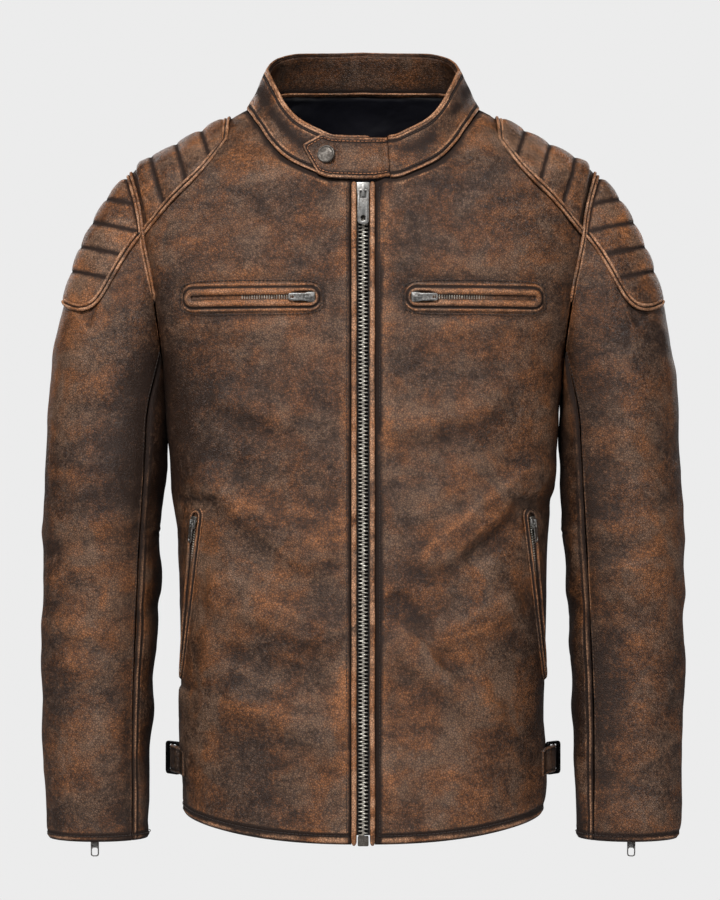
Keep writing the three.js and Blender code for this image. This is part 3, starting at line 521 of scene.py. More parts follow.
def shell(name, outer, inner, painted, ring=False):
    """A closed sheet between two grids of points; painted holds values on the outer grid."""
    rows, columns = outer.shape[:2]
    count = rows * columns
    i = np.arange(count).reshape(rows, columns)
    if ring:
        i = np.concatenate([i, i[:, :1]], 1)
    a, b, c, d = i[:-1, :-1], i[:-1, 1:], i[1:, 1:], i[1:, :-1]
    quads = [np.stack([a, b, c, d], -1).reshape(-1, 4), np.stack([a, d, c, b], -1).reshape(-1, 4) + count]
    edges = [i[0][::-1], i[-1]] if ring else [
        np.concatenate([i[0], i[1:, -1], i[-1, -2::-1], i[-2:0:-1, 0], i[0, :1]])[::-1]]
    for edge in edges:
        quads.append(np.stack([edge[:-1], edge[1:], edge[1:] + count, edge[:-1] + count], -1))
    faces = np.concatenate(quads)
    vertices = np.concatenate([outer.reshape(-1, 3), inner.reshape(-1, 3)])
    p = vertices[faces]
    volume = np.sum(p[:, 0] * np.cross(p[:, 1], p[:, 2])) + np.sum(p[:, 0] * np.cross(p[:, 2], p[:, 3]))
    if volume < 0:
        faces = faces[:, ::-1]
    far = lengths(outer)
    flat = np.stack([far["start"], far["bottom"]], -1).reshape(-1, 2)
    painted = {key: np.concatenate([value.ravel(), np.zeros(count)]) for key, value in painted.items()}
    return mesh_of(name, vertices, faces.tolist(), painted, np.concatenate([flat, flat]))


def panel(name, p, centre, relief, seams, finish, sign=1, thickness=1.6, replaces=None, body=ROOT,
    tight=1.0, painted_shade_and_wear=0):
    """A leather panel: its grid raised by its relief, with rolled and stitched seams along the named edges.

    seams maps an edge to the distance of its stitching, or to 0 for a plain rolled edge."""
    far = lengths(p)
    n = facing(p, centre(p))
    h = relief
    rub, painted_shade = np.zeros(h.shape), np.zeros(h.shape)
    patchy = 0.75 + 0.5 * noise(p, 14, 21)
    for edge, stitch in seams.items():
        d = far[edge]
        calm = smooth(d / 16)
        h = h * lerp(0.25, 1, calm) if edge != "start" or stitch >= 0 else h
        h = h - 1.3 * tight * np.clip(1 - d / 2.0, 0, 1) ** 2
        rub = np.maximum(rub, bell(d - 1.9, 1.3) * patchy)
        # Painted shade in the recess along the seam's edge.
        painted_shade = np.maximum(painted_shade, bell(d, 0.7))
        if stitch > 0:
            wide = 0.9 + 0.22 * (stitch - 4)
            h = h + 0.5 * bell(d - stitch * 0.55,
                stitch * 0.3) - (0.6 + 0.17 * (stitch - 4)) * bell(d - stitch, wide) \
                + 0.3 * bell(d - stitch - 2.6, 1.5)
            # Painted shade in the stitch groove.
            painted_shade = np.maximum(painted_shade, 0.9 * bell(d - stitch, wide + 0.2) + 0.35 * bell(d - stitch, 4))
            rub = np.maximum(rub, 0.6 * bell(d - stitch - 2.8, 1.5) * patchy)
            rub = np.maximum(rub, 0.8 * smooth((stitch - 0.8 - d) / 1.2) * patchy)
    crest = np.clip((h - softened(h, 8)) / 0.28, -1, 1)
    # Rub on the fold crests is wear. Painted shade fills the fold valleys. The shade-and-wear argument adds
    # painted shade where it is positive and rubbed wear where it is negative.
    rub = np.clip((rub + 0.28 * np.clip(crest, 0, 1)) * (1 - 0.6 * np.clip(painted_shade_and_wear, 0, 1))
        + np.clip(-painted_shade_and_wear, 0, 1), 0, 1.2)
    painted_shade = np.clip(painted_shade + 0.22 * np.clip(-crest, 0, 1) + np.clip(painted_shade_and_wear, 0, 1), 0, 1)
    mirror = np.array([sign, 1, 1])
    outer = (p + n * h[..., None]) * mirror
    inner = (p + n * (np.minimum(softened(h, 3), h) - thickness)[..., None]) * mirror
    return placed(name, shell(name, outer, inner, {"rub": rub, "painted_shade": painted_shade}), finish, body,
        replaces or [name])


def resampled(path, spacing):
    """Points an even distance apart on a polyline, and the distance of each."""
    path = np.asarray(path, float)
    s = np.concatenate([[0], np.cumsum(np.linalg.norm(np.diff(path, axis=0), axis=1))])
    at = np.linspace(0, s[-1], max(2, int(round(s[-1] / spacing)) + 1))
    return np.stack([np.interp(at, s, path[:, k]) for k in range(3)], 1), at


def roll_mesh(name, path, out, half, high, closed=False, ruche=0.1, seed=0, sides=10, sink=0.35):
    """A filled, rolled edge along a path: an oval tube that lies on the surface facing out."""
    path, at = np.asarray(path), None
    out = unit(np.asarray(out))
    along = unit(np.roll(path, -1, 0) - np.roll(path, 1, 0)) if closed else unit(np.gradient(path, axis=0))
    side = unit(np.cross(along, out))
    out = unit(np.cross(side, along))
    swell = 1 + ruche * noise(path, 4.2, seed) + 0.5 * ruche * noise(path, 12, seed + 3)
    taper = np.ones(len(path))
    if not closed:
        taper[0] = taper[-1] = 0.35
        taper[1] = taper[-2] = 0.8
    turns = np.linspace(0, 2 * math.pi, sides, endpoint=False)
    rings = [path + side * (math.cos(t) * half * swell * taper)[..., None]
             + out * (((math.sin(t) + sink) * high * swell * taper))[..., None] for t in turns]
    vertices = np.stack(rings, 1).reshape(-1, 3)
    rub = np.tile(np.clip(0.55 + 0.6 * np.sin(turns), 0, 1),
        len(path)) * (0.8 + 0.35 * noise(vertices, 9, seed + 7))
    # Painted shade on the underside of the roll, where it meets the surface; the rub on its top is wear.
    painted_shade = np.tile(np.clip(-0.2 - 0.9 * np.sin(turns), 0, 1), len(path))
    count = len(path)
    faces = []
    for j in range(count if closed else count - 1):
        k = (j + 1) % count
        faces += [(j * sides + a, j * sides + (a + 1) % sides, k * sides + (a + 1) % sides,
            k * sides + a) for a in range(sides)]
    if not closed:
        faces += [tuple(range(sides))[::-1], tuple((count - 1) * sides + a for a in range(sides))]
    p = vertices[[f[0] for f in faces]], vertices[[f[1] for f in faces]], vertices[[f[2] for f in faces]]
    if np.sum(p[0] * np.cross(p[1], p[2])) < 0:
        faces = [f[::-1] for f in faces]
    return vertices, faces, rub, painted_shade


class Gathered:
    """Several small closed forms that become one piece."""

    def __init__(self):
        self.parts, self.count = [], 0

    def add(self, vertices, faces, rub=None, painted_shade=None):
        zero = np.zeros(len(vertices))
        self.parts.append((vertices, [tuple(i + self.count for i in f) for f in faces],
                           zero if rub is None else rub, zero if painted_shade is None else painted_shade))
        self.count += len(vertices)

    def piece(self, name, finish, slot, body=ROOT, replaces=()):
        vertices, faces, rub, painted_shade = zip(*self.parts)
        mesh = mesh_of(name, np.concatenate(vertices), sum(faces, []),
            {"rub": np.concatenate(rub), "painted_shade": np.concatenate(painted_shade)})
        return placed(name, mesh, finish, body, replaces)


# ---------------------------------------------------------------- what repeats along a path


def stitch_item(length=2.7, radius=0.42):
    """One stitch: a short thread that dips into the leather at both ends."""
    vertices, faces = [], []
    for x, r, z in ((-0.5, 0.35, -0.5), (-0.36, 0.85, 0.1), (0, 1, 0.32), (0.36, 0.85, 0.1),
        (0.5, 0.35, -0.5)):
        vertices += [(x * length, r * radius * math.cos(a), r * radius * math.sin(a) + z * radius)
                     for a in np.linspace(0, 2 * math.pi, 6, endpoint=False)]
    for j in range(4):
        faces += [(j * 6 + a, (j + 1) * 6 + a, (j + 1) * 6 + (a + 1) % 6, j * 6 + (a + 1) % 6)
            for a in range(6)]
    faces += [tuple(range(6)), tuple(range(29, 23, -1))]
    return vertices, faces


def tooth_item(side, half=4.0, nose=0.9, long=1.5, high=2.4):
    """One zip tooth: a clamped foot on the tape and a narrower nose that reaches past the middle."""
    outline = [(-long * 0.35, half), (-long * 0.35, half * 0.45), (-long * 0.5, half * 0.28),
        (-long * 0.5, -nose * 0.7), (-long * 0.3, -nose),
               (long * 0.3, -nose), (long * 0.5, -nose * 0.7), (long * 0.5, half * 0.28),
                   (long * 0.35, half * 0.45), (long * 0.35, half)]
    levels = ((0.0, 0.9), (high * 0.75, 1.0), (high, 0.72))
    vertices = [(x * k, side * y * (1 if k > 0.8 else 0.94), z) for z, k in levels for x, y in outline]
    n = len(outline)
    faces = [(j * n + a, j * n + (a + 1) % n, (j + 1) * n + (a + 1) % n, (j + 1) * n + a)
        for j in range(2) for a in range(n)]
    faces += [tuple(range(n))[::-1], tuple(2 * n + a for a in range(n))]
    if side > 0:
        faces = [f[::-1] for f in faces]
    return vertices, faces


def repeat_tree():
    """Geometry Nodes that set an item along a path at an even pitch, running along it and facing out."""
    tree = bpy.data.node_groups.new("items_along_path", "GeometryNodeTree")
    tree.interface.new_socket("Path", in_out="INPUT", socket_type="NodeSocketGeometry")
    for label, kind in (("Item", "NodeSocketObject"), ("Pitch", "NodeSocketFloat"),
        ("Material", "NodeSocketMaterial")):
        tree.interface.new_socket(label, in_out="INPUT", socket_type=kind)
    tree.interface.new_socket("Items", in_out="OUTPUT", socket_type="NodeSocketGeometry")
    made = {}

    def add(key, kind, settings=None, **links):
        node = made[key] = tree.nodes.new(kind)
        for name, value in (settings or {}).items():
            setattr(node, name, value)
        for name, source in links.items():
            socket = node.inputs[name.replace("_", " ")]
            if isinstance(source, tuple):
                tree.links.new(made[source[0]].outputs[source[1]], socket)
            else:
                socket.default_value = source
        return node
    add("in", "NodeGroupInput")
    add("curve", "GeometryNodeMeshToCurve", Mesh=("in", "Path"))
    add("even", "GeometryNodeResampleCurve", {"mode": "LENGTH"}, Curve=("curve", "Curve"),
        Length=("in", "Pitch"))
    add("tangent", "GeometryNodeInputTangent")
    add("face", "GeometryNodeInputNamedAttribute", {"data_type": "FLOAT_VECTOR"}, Name="face")
    add("run", "FunctionNodeAlignRotationToVector", {"axis": "X"}, Vector=("tangent", "Tangent"))
    add("turn", "FunctionNodeAlignRotationToVector", {"axis": "Z", "pivot_axis": "X"},
        Rotation=("run", "Rotation"), Vector=("face", "Attribute"))
    add("item", "GeometryNodeObjectInfo", Object=("in", "Item"))
    add("set", "GeometryNodeInstanceOnPoints", Points=("even", "Curve"), Instance=("item", "Geometry"),
        Rotation=("turn", "Rotation"))
    add("real", "GeometryNodeRealizeInstances", Geometry=("set", "Instances"))
    add("finish", "GeometryNodeSetMaterial", Geometry=("real", "Geometry"), Material=("in", "Material"))
    add("out", "NodeGroupOutput", Items=("finish", "Geometry"))
    return tree


def along_paths(name, paths, item, pitch, finish, tree, body=ROOT, replaces=()):
    """Sets an item along each (points, facing) path and makes one plain mesh of them."""
    vertices, edges, faces_out, count = [], [], [], 0
    for points, out in paths:
        vertices.append(np.asarray(points))
        faces_out.append(unit(np.broadcast_to(out, np.shape(points))))
        edges += [(count + k, count + k + 1) for k in range(len(points) - 1)]
        count += len(points)
    mesh = bpy.data.meshes.new(name + "_path")
    mesh.from_pydata((np.concatenate(vertices) * MM).tolist(), edges, [])
    mesh.attributes.new("face", "FLOAT_VECTOR", "POINT").data.foreach_set("vector",
        np.concatenate(faces_out).astype(np.float32).ravel())
    path = bpy.data.objects.new(name + "_path", mesh)
    thing = bpy.data.objects.new(name + "_item", mesh_of(name + "_item", item[0], item[1]))
    for extra in (path, thing):
        bpy.context.scene.collection.objects.link(extra)
    modifier = path.modifiers.new("items", "NODES")
    modifier.node_group = tree
    sockets = {s.name: s.identifier for s in tree.interface.items_tree if s.in_out == "INPUT"}
    modifier[sockets["Item"]] = thing
    modifier[sockets["Pitch"]] = pitch * MM
    modifier[sockets["Material"]] = finish
    bpy.context.view_layer.update()
    result = bpy.data.meshes.new_from_object(path.evaluated_get(bpy.context.evaluated_depsgraph_get()))
    for extra in (path, thing):
        bpy.data.objects.remove(extra)
    result.name = name
    return placed(name, result, finish, body, replaces)


# ---------------------------------------------------------------- refined hardware


def refined(node, finish, body, round_by=0.22, name=None):
    """A copy of a solid with its flat faces joined and its edges rounded."""
    source = bpy.data.objects[node]
    form = bmesh.new()
    form.from_mesh(source.data)
    bmesh.ops.remove_doubles(form, verts=form.verts, dist=2e-6)
    bmesh.ops.dissolve_limit(form, angle_limit=math.radians(2), verts=form.verts, edges=form.edges)
    sharp = [e for e in form.edges if len(e.link_faces) == 2 and e.calc_face_angle(0) > math.radians(25)]
    bmesh.ops.bevel(form, geom=sharp, offset=round_by * MM, segments=2, profile=0.6, affect="EDGES",
        clamp_overlap=True)
    bmesh.ops.recalc_face_normals(form, faces=form.faces)
    mesh = bpy.data.meshes.new(name or node + "_detailed")
    form.to_mesh(mesh)
    form.free()
    mesh.shade_smooth()
    mesh.set_sharp_from_angle(angle=math.radians(35))
    return placed(name or node + "_detailed", mesh, finish, body, [node])


studio()

LEATHER = aged_leather("aged_brown_leather")
PAD_LEATHER = aged_leather("padded_leather", 1.25, 0.55)
EDGE_LEATHER = aged_leather("worn_edge_leather", 0.95, 1.0, 0.7)
WELT_LEATHER = aged_leather("pocket_welt_leather", 0.95, 0.5, 0.8)
DARK_LEATHER = aged_leather("dark_strap_leather", 0.42, 0.35, 0.8)
FACING_LEATHER = aged_leather("collar_facing_leather", 0.8, 0.5)
SATIN = satin("black_satin", (0.0022, 0.0022, 0.0040))
TAPE = woven("zip_tape", (0.016, 0.013, 0.012))
NICKEL = metal("antique_nickel", (0.62, 0.61, 0.58), (0.16, 0.15, 0.14), 0.26)
AGED_METAL = metal("aged_stud_metal", (0.15, 0.135, 0.12), (0.075, 0.066, 0.058), 0.5)
TEETH = metal("zip_teeth_metal", (0.60, 0.57, 0.50), (0.24, 0.22, 0.19), 0.42)
BLACK_METAL = metal("black_buckle_metal", (0.05, 0.05, 0.052), (0.015, 0.015, 0.016), 0.3)
THREAD = thread("dark_thread", (0.020, 0.010, 0.006))
BRIGHT_THREAD = thread("orange_thread", (0.30, 0.12, 0.05))
REPEAT = repeat_tree()
STITCH = stitch_item()

# ---------------------------------------------------------------- body panels

rows = np.unique(np.concatenate([np.linspace(0, 1, 215), [row_of(PIT_Z), row_of(TIP_Z) + 1e-5]]))
columns = np.linspace(0, 1, 96)
U, V = np.meshgrid(columns, rows)
start = angle_of_x(FRONT_EDGE, row_z(0, rows))[:, None]
angle = lerp(start, armhole_angle(rows, False)[:, None], U)
front = body_at(angle, row_z(angle, V))
front[:, 0, 0] = FRONT_EDGE

FOLDS = {  # soft folds as start x, start z, end x, end z, width and height
    "right": ((-131, -255, -64, -277, 12, 2.0), (-144, -330, -38, -401, 14, 3.4),
        (-109, -321, -25, -348, 9, -2.4),
              (-131, -427, -29, -471, 16, 3.0), (-122, -480, -29, -515, 10, -2.0),
                  (-117, -524, -29, -555, 14, 2.5)),
    "left": ((161, -317, 59, -401, 12, 3.4), (169, -348, 94, -401, 8, -2.6), (28, -436, 94, -515, 9, -3.0),
             (33, -471, 121, -542, 14, 3.0), (19, -286, 121, -259, 14, 2.4), (139, -436, 50, -480, 12, 2.0))}


def under_pad(p):
    """1 where the shoulder pad covers the body, where the leather lies flat."""
    return smooth((p[..., 2] + 1.095 * (np.abs(p[..., 0]) - 125) + 24)
        / 8) * smooth((np.abs(p[..., 0]) - 116) / 8)


DEEPEST_FOLD = 1.7  # the pocket bags lie 3.4 mm in, behind leather 1.6 mm thick


def front_relief(p, sign, hand):
    seen = p * [sign, 1, 1]
    h = creased(seen, 1 if sign > 0 else 11)
    for *place, height in FOLDS[hand]:
        h = h + fold(seen, *place, 2.2 * height)
    from_zip = p[..., 0] - FRONT_EDGE
    ripple = noise(seen * [0.25, 0.3, 1], (16, 30, 5.2), 31) + 0.6 * noise(seen * [0.25, 0.3, 1],
        (20, 30, 9), 33)
    h = h + 0.62 * ripple * np.exp(-np.clip(from_zip - 3, 0, None) / 15) * smooth(from_zip / 3)
    pocket = np.maximum(np.abs(p[..., 0] - 99.5) - 55, 0) ** 2 + np.maximum(np.abs(p[..., 2] + 168) - 8,
        0) ** 2
    h = h * smooth((np.sqrt(pocket) - 4) / 22) - 0.6 * bell(np.sqrt(pocket) - 9, 3.5)
    beside = np.abs(p[..., 0]
        - lerp(149, 164.4, (p[..., 2] + 361) / -147)) + 100 * ((p[..., 2] > -345) | (p[..., 2] < -520))
    h = lerp(h * 0.2, h, smooth((beside - 8) / 18))
    h = np.where(h < 0, -DEEPEST_FOLD * np.tanh(-h / DEEPEST_FOLD), np.minimum(h, 6))
    return lerp(h, -0.9, under_pad(p))


for hand, sign in SIDES:
    from_zip = front[..., 0] - FRONT_EDGE
    gap = 4.6 if sign > 0 else 3.2
    patchy = smooth(noise(front * [sign, 1, 1], (30, 30, 42), 37) + 0.75)
    # Painted shade on the narrow strip beside the zip edge and towards the torso's sides, with a patchy band
    # of rubbed wear just beyond the strip.
    front_shade_and_wear = np.clip(1.6 * smooth((gap + 0.8 - from_zip) / 1.6), 0,
        1) - 0.32 * bell(from_zip - gap - 4.5, 4.5) * patchy \
        + 0.5 * smooth((angle - 50) / 40)
    panel(f"front_panel_{hand}", front, from_body, front_relief(front, sign, hand),
          {"start": 0, "end": 0, "bottom": 7.5, "top": 3.5}, LEATHER, sign, painted_shade_and_wear=front_shade_and_wear)

around = np.linspace(-1, 1, 190)
U, V = np.meshgrid(around, rows)
angle = lerp(180, armhole_angle(rows, True)[:, None], np.abs(U))
back = body_at(angle, row_z(angle, V))
back[..., 0] *= np.sign(U) + (U == 0)
back[..., 1] += 0.5
back_relief = creased(back, 41, 1.15) + fold(back, -120, -470, 90, -505, 16, 2.6) + fold(back, -70, -420,
    130, -440, 14, 2.0) \
    + fold(back, -150, -250, -60, -300, 13, 2.4) + fold(back, 150, -250, 70, -310, 13, 2.4) + fold(back,
        -100, -560, 40, -575, 12, -1.8)
# Painted shade towards the sides of the back.
panel("back_panel", back, from_body, lerp(np.clip(back_relief, -4, 6), -0.9, under_pad(back)),
    {"start": 0, "end": 0, "bottom": 7.5, "top": 3.5}, LEATHER,
      painted_shade_and_wear=0.3 * smooth((130 - angle) / 40))

# ---------------------------------------------------------------- sleeves

FRONT_SEAM, BACK_SEAM, SLIT = 136, 280, 0.9
alongs = np.concatenate([np.linspace(0.012, 1, 82), np.linspace(1, 2, 124)[1:]])


def sleeve_relief(p, turn, along, sign, seed):
    seen = p * [sign, 1, 1]
    h = creased(seen, seed, 1.0)
    elbow = bell(p[..., 2] + 400, 90)
    bands = noise(seen + 14 * noise(seen, 60, seed)[..., None], (75, 75, 21), seed + 8)
    h = h + 2.4 * elbow * bands + 1.1 * noise(seen, (60, 60, 26), seed + 9)
    near_arm = np.clip(1 - along / 0.22, 0, 1)
    covered = smooth((66 - np.abs(turn)) / 6) * smooth((0.6 - along) / 0.03)
    return lerp(np.clip(h * (1 - 0.7 * near_arm), -3.6, 5), -0.9, covered)


for hand, sign in SIDES:
    for part, first, last, count in (("top", BACK_SEAM - 360 + SLIT, FRONT_SEAM - SLIT, 100),
        ("under", FRONT_SEAM + SLIT, BACK_SEAM - SLIT, 56)):
        T, A = np.meshgrid(np.linspace(first, last, count), alongs)
        p = sleeve_at(T, A)
        inward = np.abs((T + 180) % 360 - 180)
        h = sleeve_relief(p, T, A, sign, (51 if sign > 0 else 61) + (5 if part == "top" else 0))
        if part == "under":  # the elbow seam
            d = p[..., 2] + 386 + 0.12 * (p[..., 0] - 236)
            h = h - 0.9 * bell(d, 1.2) + 0.5 * bell(d - 3, 2)
        # Painted shade on the sleeves' inner sides, which face the body, fading out towards the shoulder.
        panel(f"sleeve_{part}_{hand}", p, from_sleeve, h,
            {"start": 4.0, "end": 0 if part == "top" else 4.0, "top": 5.0, "bottom": 0},
              LEATHER, sign, painted_shade_and_wear=smooth(A / 0.3)
                  * (0.4 * smooth((inward - 85) / 50) if part == "top"
                      else 0.1 + 0.6 * smooth((inward - 138) / 40)))
    T, A = np.meshgrid(np.linspace(0, 360, 72, endpoint=False), np.linspace(0.07, 1.97, 110))
    p = sleeve_at(T, A)
    n = facing(p, from_sleeve(p)) * 1.0
    n[:, 0] = n[:, -1] = unit(n[:, 1] + n[:, -2])
    h = -5.2 + 0.7 * noise(p * [sign, 1, 1], (40, 40, 14), 71)
    mirror = np.array([sign, 1, 1])
    arm_lining = placed(f"sleeve_lining_{hand}_satin",
        shell("sleeve_lining", (p + n * h[..., None]) * mirror, (p + n * (h - 0.8)[..., None]) * mirror,
                                                {"rub": 0 * h}, ring=True), SATIN, ROOT,
                                                    [f"sleeve_lining_{hand}"])

# ---------------------------------------------------------------- body lining

first = angle_of_x(FRONT_EDGE + 13, -350.0)
T, V = np.meshgrid(np.concatenate([np.linspace(first, 180, 120), 360 - np.linspace(180, first, 120)[1:]]),
    np.linspace(0.015, 1.0, 136))
part = np.where(T > 180, 360 - T, T)
p = body_at(part, row_z(part, V))
p[..., 0] *= np.where(T > 180, -1, 1)
n = facing(p, from_body(p))
p = p + n * lerp(-7.6 + 0.9 * noise(p, (45, 45, 25), 81), -2.6, smooth((V - 0.93) / 0.06))[..., None]
form = bmesh.new()
grid = [[form.verts.new(q * MM) for q in row] for row in p]
for j in range(len(grid) - 1):
    for i in range(len(grid[0]) - 1):
        middle = p[j:j + 2, i:i + 2].mean((0, 1))
        if (middle[1] / (ARM_DEEP + 2)) ** 2 + ((middle[2] - ARM_Z)
            / (ARM_HIGH + 2)) ** 2 > 1 or abs(middle[0]) < 120:
            form.faces.new((grid[j][i], grid[j][i + 1], grid[j + 1][i + 1], grid[j + 1][i]))
bmesh.ops.delete(form, geom=[v for v in form.verts if not v.link_faces], context="VERTS")
mesh = bpy.data.meshes.new("body_lining_satin")
form.to_mesh(mesh)
form.free()
mesh.polygons.foreach_set("use_smooth", [True] * len(mesh.polygons))
lining = placed("body_lining_satin", mesh, SATIN, ROOT, ["body_lining"])
faces = np.array([f.area for f in mesh.polygons])
thick = lining.modifiers.new("thickness", "SOLIDIFY")
thick.thickness = 0.6 * MM
thick.offset = -1

# ---------------------------------------------------------------- quilted pads

PAD_EDGE = ((124, 125, -24), (150, 142, -49), (182, 171, -77), (212, 198, -108))
pad_edge_x = through(*((a, b) for a, b, _ in PAD_EDGE))
pad_edge_z = through(*((a, c) for a, _, c in PAD_EDGE))


def ridge_z(x):
    low, high = np.full_like(x, TIP_Z), np.full_like(x, NECK_SIDE + 20.0)
    for _ in range(40):
        middle = (low + high) / 2
        wide = half_width(middle) > x
        low, high = np.where(wide, middle, low), np.where(wide, high, middle)
    return low


def shoulder_pad_at(q, shoulder):
    x = lerp(shoulder, pad_edge_x(shoulder), q * q)
    z = lerp(ridge_z(shoulder) - 0.2, pad_edge_z(shoulder), q * q)
    return point(x, body_y(x, z, np.sign(q)), z)


def sleeve_pad_at(q, part):
    return sleeve_at(q * lerp(14, 64, np.sqrt(np.clip(1 - part ** 7, 0, 1))), lerp(0.035, 0.6, part))


def channel(w, lines):
    """How full the quilting is at w (0 on a sewn line, 1 midway), and the distance to a line."""
    i = np.clip(np.searchsorted(lines, w) - 1, 0, len(lines) - 2)
    lines = np.asarray(lines, float)
    t = np.clip((w - lines[i]) / (lines[i + 1] - lines[i]), 0, 1)
    return np.sqrt(np.clip(np.sin(math.pi * t), 0, 1)), np.minimum(t, 1 - t) * (lines[i + 1] - lines[i])


def pad(name, p, centre, w, lines, crown, sign, seed):
    n = facing(p, centre(p))
    full, from_line = channel(w, lines)
    far = lengths(p)
    rim = np.minimum(np.minimum(far["start"], far["end"]), np.minimum(far["bottom"], far["top"]))
    seen = p * [sign, 1, 1]
    pucker = noise(seen, (9, 9, 9), seed) * bell(from_line - 3, 5) * 0.55
    h = 0.9 + crown * (1 + 0.15 * noise(seen, 30, seed + 1)) * full ** 0.8 * smooth(rim
        / 6) ** 0.5 + pucker + 0.25 * noise(seen, 14, seed + 2)
    h = np.where(rim < 0.01, 0.6, h)
    crest = np.clip(full * 1.3 - 0.55, 0, 1)
    rub = np.clip(0.55 * crest * (0.7 + 0.6 * noise(seen, 16, seed + 3))
        + 0.35 * bell(from_line - 4.5, 1.8), 0, 1)
    # Painted shade in the quilting's sewn grooves and along the pad's rim.
    painted_shade = np.clip(bell(from_line, 1.0) + 0.35 * bell(from_line, 3.2) + 0.9 * bell(rim, 1.4), 0, 1)
    mirror = np.array([sign, 1, 1])
    piece = placed(name + "_quilted",
        shell(name, (p + n * h[..., None]) * mirror, (p + n * 0.25) * mirror, {"rub": rub, "painted_shade": painted_shade}),
                   PAD_LEATHER, ROOT, [name])
    return piece


Q, S = np.meshgrid(np.sign(np.linspace(-1, 1, 121)) * np.abs(np.linspace(-1, 1, 121)) ** 0.8,
    np.linspace(124, 207, 74))
shoulder = shoulder_pad_at(Q, S)
Q, S = np.meshgrid(np.linspace(-1, 1, 101), 1 - (1 - np.linspace(0, 1, 110)) ** 1.6)
upper_arm = sleeve_pad_at(Q, S)
for hand, sign in SIDES:
    pad(f"shoulder_pad_{hand}", shoulder, from_body, shoulder[..., 0] - 0.33 * shoulder[..., 2],
        SHOULDER_LINES, SHOULDER_CROWN, sign, 91)
    pad(f"sleeve_pad_{hand}", upper_arm, from_sleeve, -(upper_arm[..., 2] - 0.24 * upper_arm[..., 0]),
        UPPER_ARM_LINES, UPPER_ARM_CROWN, sign, 96)

# ---------------------------------------------------------------- filled seams round the pads and armholes


def normals_along(grid_at, us, vs, centre):
    """Points and facing of a surface along a path given by its two parameters."""
    step = 0.002
    p = grid_at(us, vs)
    du = grid_at(us + step, vs) - grid_at(us - step, vs)
    dv = grid_at(us, vs + step) - grid_at(us, vs - step)
    n = unit(np.cross(du, dv))
    flip = np.sum(n * (p - centre(p)), -1) < 0
    return p, np.where(flip[:, None], -n, n)


def double_roll(gathered, path, out, gap, half, high, sign, seed, lift=0.6):
    along = unit(np.gradient(path, axis=0))
    side = unit(np.cross(along, out))
    for k in (-1, 1):
        moved = path + side * (k * gap / 2) + out * lift
        gathered.add(*roll_mesh("roll", moved * [sign, 1, 1], out * [sign, 1, 1], half, high, seed=seed + k))


def thin(path, out, spacing):
    even, at = resampled(path, spacing)
    s = np.concatenate([[0], np.cumsum(np.linalg.norm(np.diff(path, axis=0), axis=1))])
    return even, unit(np.stack([np.interp(at, s, out[:, k]) for k in range(3)], 1))


stitches = []
span = np.linspace(0, 1, 60)
edge_q = np.concatenate([-np.ones(60), np.linspace(-1, 1, 90)[1:-1], np.ones(60)])
edge_s = np.concatenate([212 - 88 * span, np.full(88, 124.0), 124 + 88 * span])
shoulder_path, shoulder_out = normals_along(lambda q, s: shoulder_pad_at(q, s), edge_q * 0.999, edge_s,
    from_body)
span = 1 - (1 - span) ** 2
edge_part = np.concatenate([span, np.ones(58), span[::-1]])
edge_q = np.concatenate([-np.ones(60), np.linspace(-1, 1, 60)[1:-1], np.ones(60)])
arm_path, arm_out = normals_along(sleeve_pad_at, edge_q, np.clip(edge_part, 0.003, 1), from_sleeve)
turns = np.linspace(-106, 106, 160)
hole = armhole_at(turns)
hole_out = unit(unit(hole - from_body(hole)) + unit(hole - from_sleeve(hole)) + [0.3, 0, 0])
for hand, sign in SIDES:
    seam = Gathered()
    for path, out, seed, lift in ((shoulder_path, shoulder_out, 3, 1.0), (arm_path, arm_out, 7, 1.0),
        (hole, hole_out, 11, 1.6)):
        path, out = thin(path, out, 1.6)
        double_roll(seam, path, out, 4.0, 1.5, 1.5, sign, seed, lift)
        stitches.append(((path + out * 1.6) * [sign, 1, 1], out * [sign, 1, 1]))
    seam.piece(f"filled_seams_{hand}", EDGE_LEATHER, "edge_leather")

# ---------------------------------------------------------------- collar

neck_start = collar_angle(24.0)
collar_turns = np.concatenate(
    [np.linspace(neck_start, 180, 170), 360 - np.linspace(180, -float(collar_angle(-6.0)) * -1, 175)[1:]])
T, R = np.meshgrid(collar_turns, np.linspace(-0.02, 1, 30))
signed = np.where(T > 180, T - 360, T)
band = collar_at(signed, R)
h = 0.45 * creased(band, 101) + 0.7 * noise(band, (26, 26, 12), 103) + 0.5 * noise(band, (10, 14, 30), 105)
high = 40 * R + 3 * noise(band, 24, 107)
# Painted shade in patches around mid-height of the collar band, and rubbed wear in patches lower down.
collar_shade_and_wear = 0.75 * bell(high - 22, 7) * smooth(noise(band, (30, 30, 9), 108) + 0.75) - 0.6 * bell(high - 10,
    6) * smooth(noise(band, 22, 109) + 0.5)
panel("collar_band", band, from_neck, h, {"top": 4.5, "bottom": 4.5, "end": 3.0}, LEATHER, thickness=2.2,
    painted_shade_and_wear=collar_shade_and_wear)
T, R = np.meshgrid(collar_turns, np.linspace(-0.03, 0.97, 24))
signed = np.where(T > 180, T - 360, T)
inside = collar_at(signed, R)
n = facing(inside, from_neck(inside))
inner_face = inside - n * 3.9
far = lengths(inner_face)
h = 0.5 * creased(inner_face, 111)
rub = 0.9 * bell(far["bottom"] - 2, 1.4) + 0.5 * bell(far["top"] - 3, 1.5)
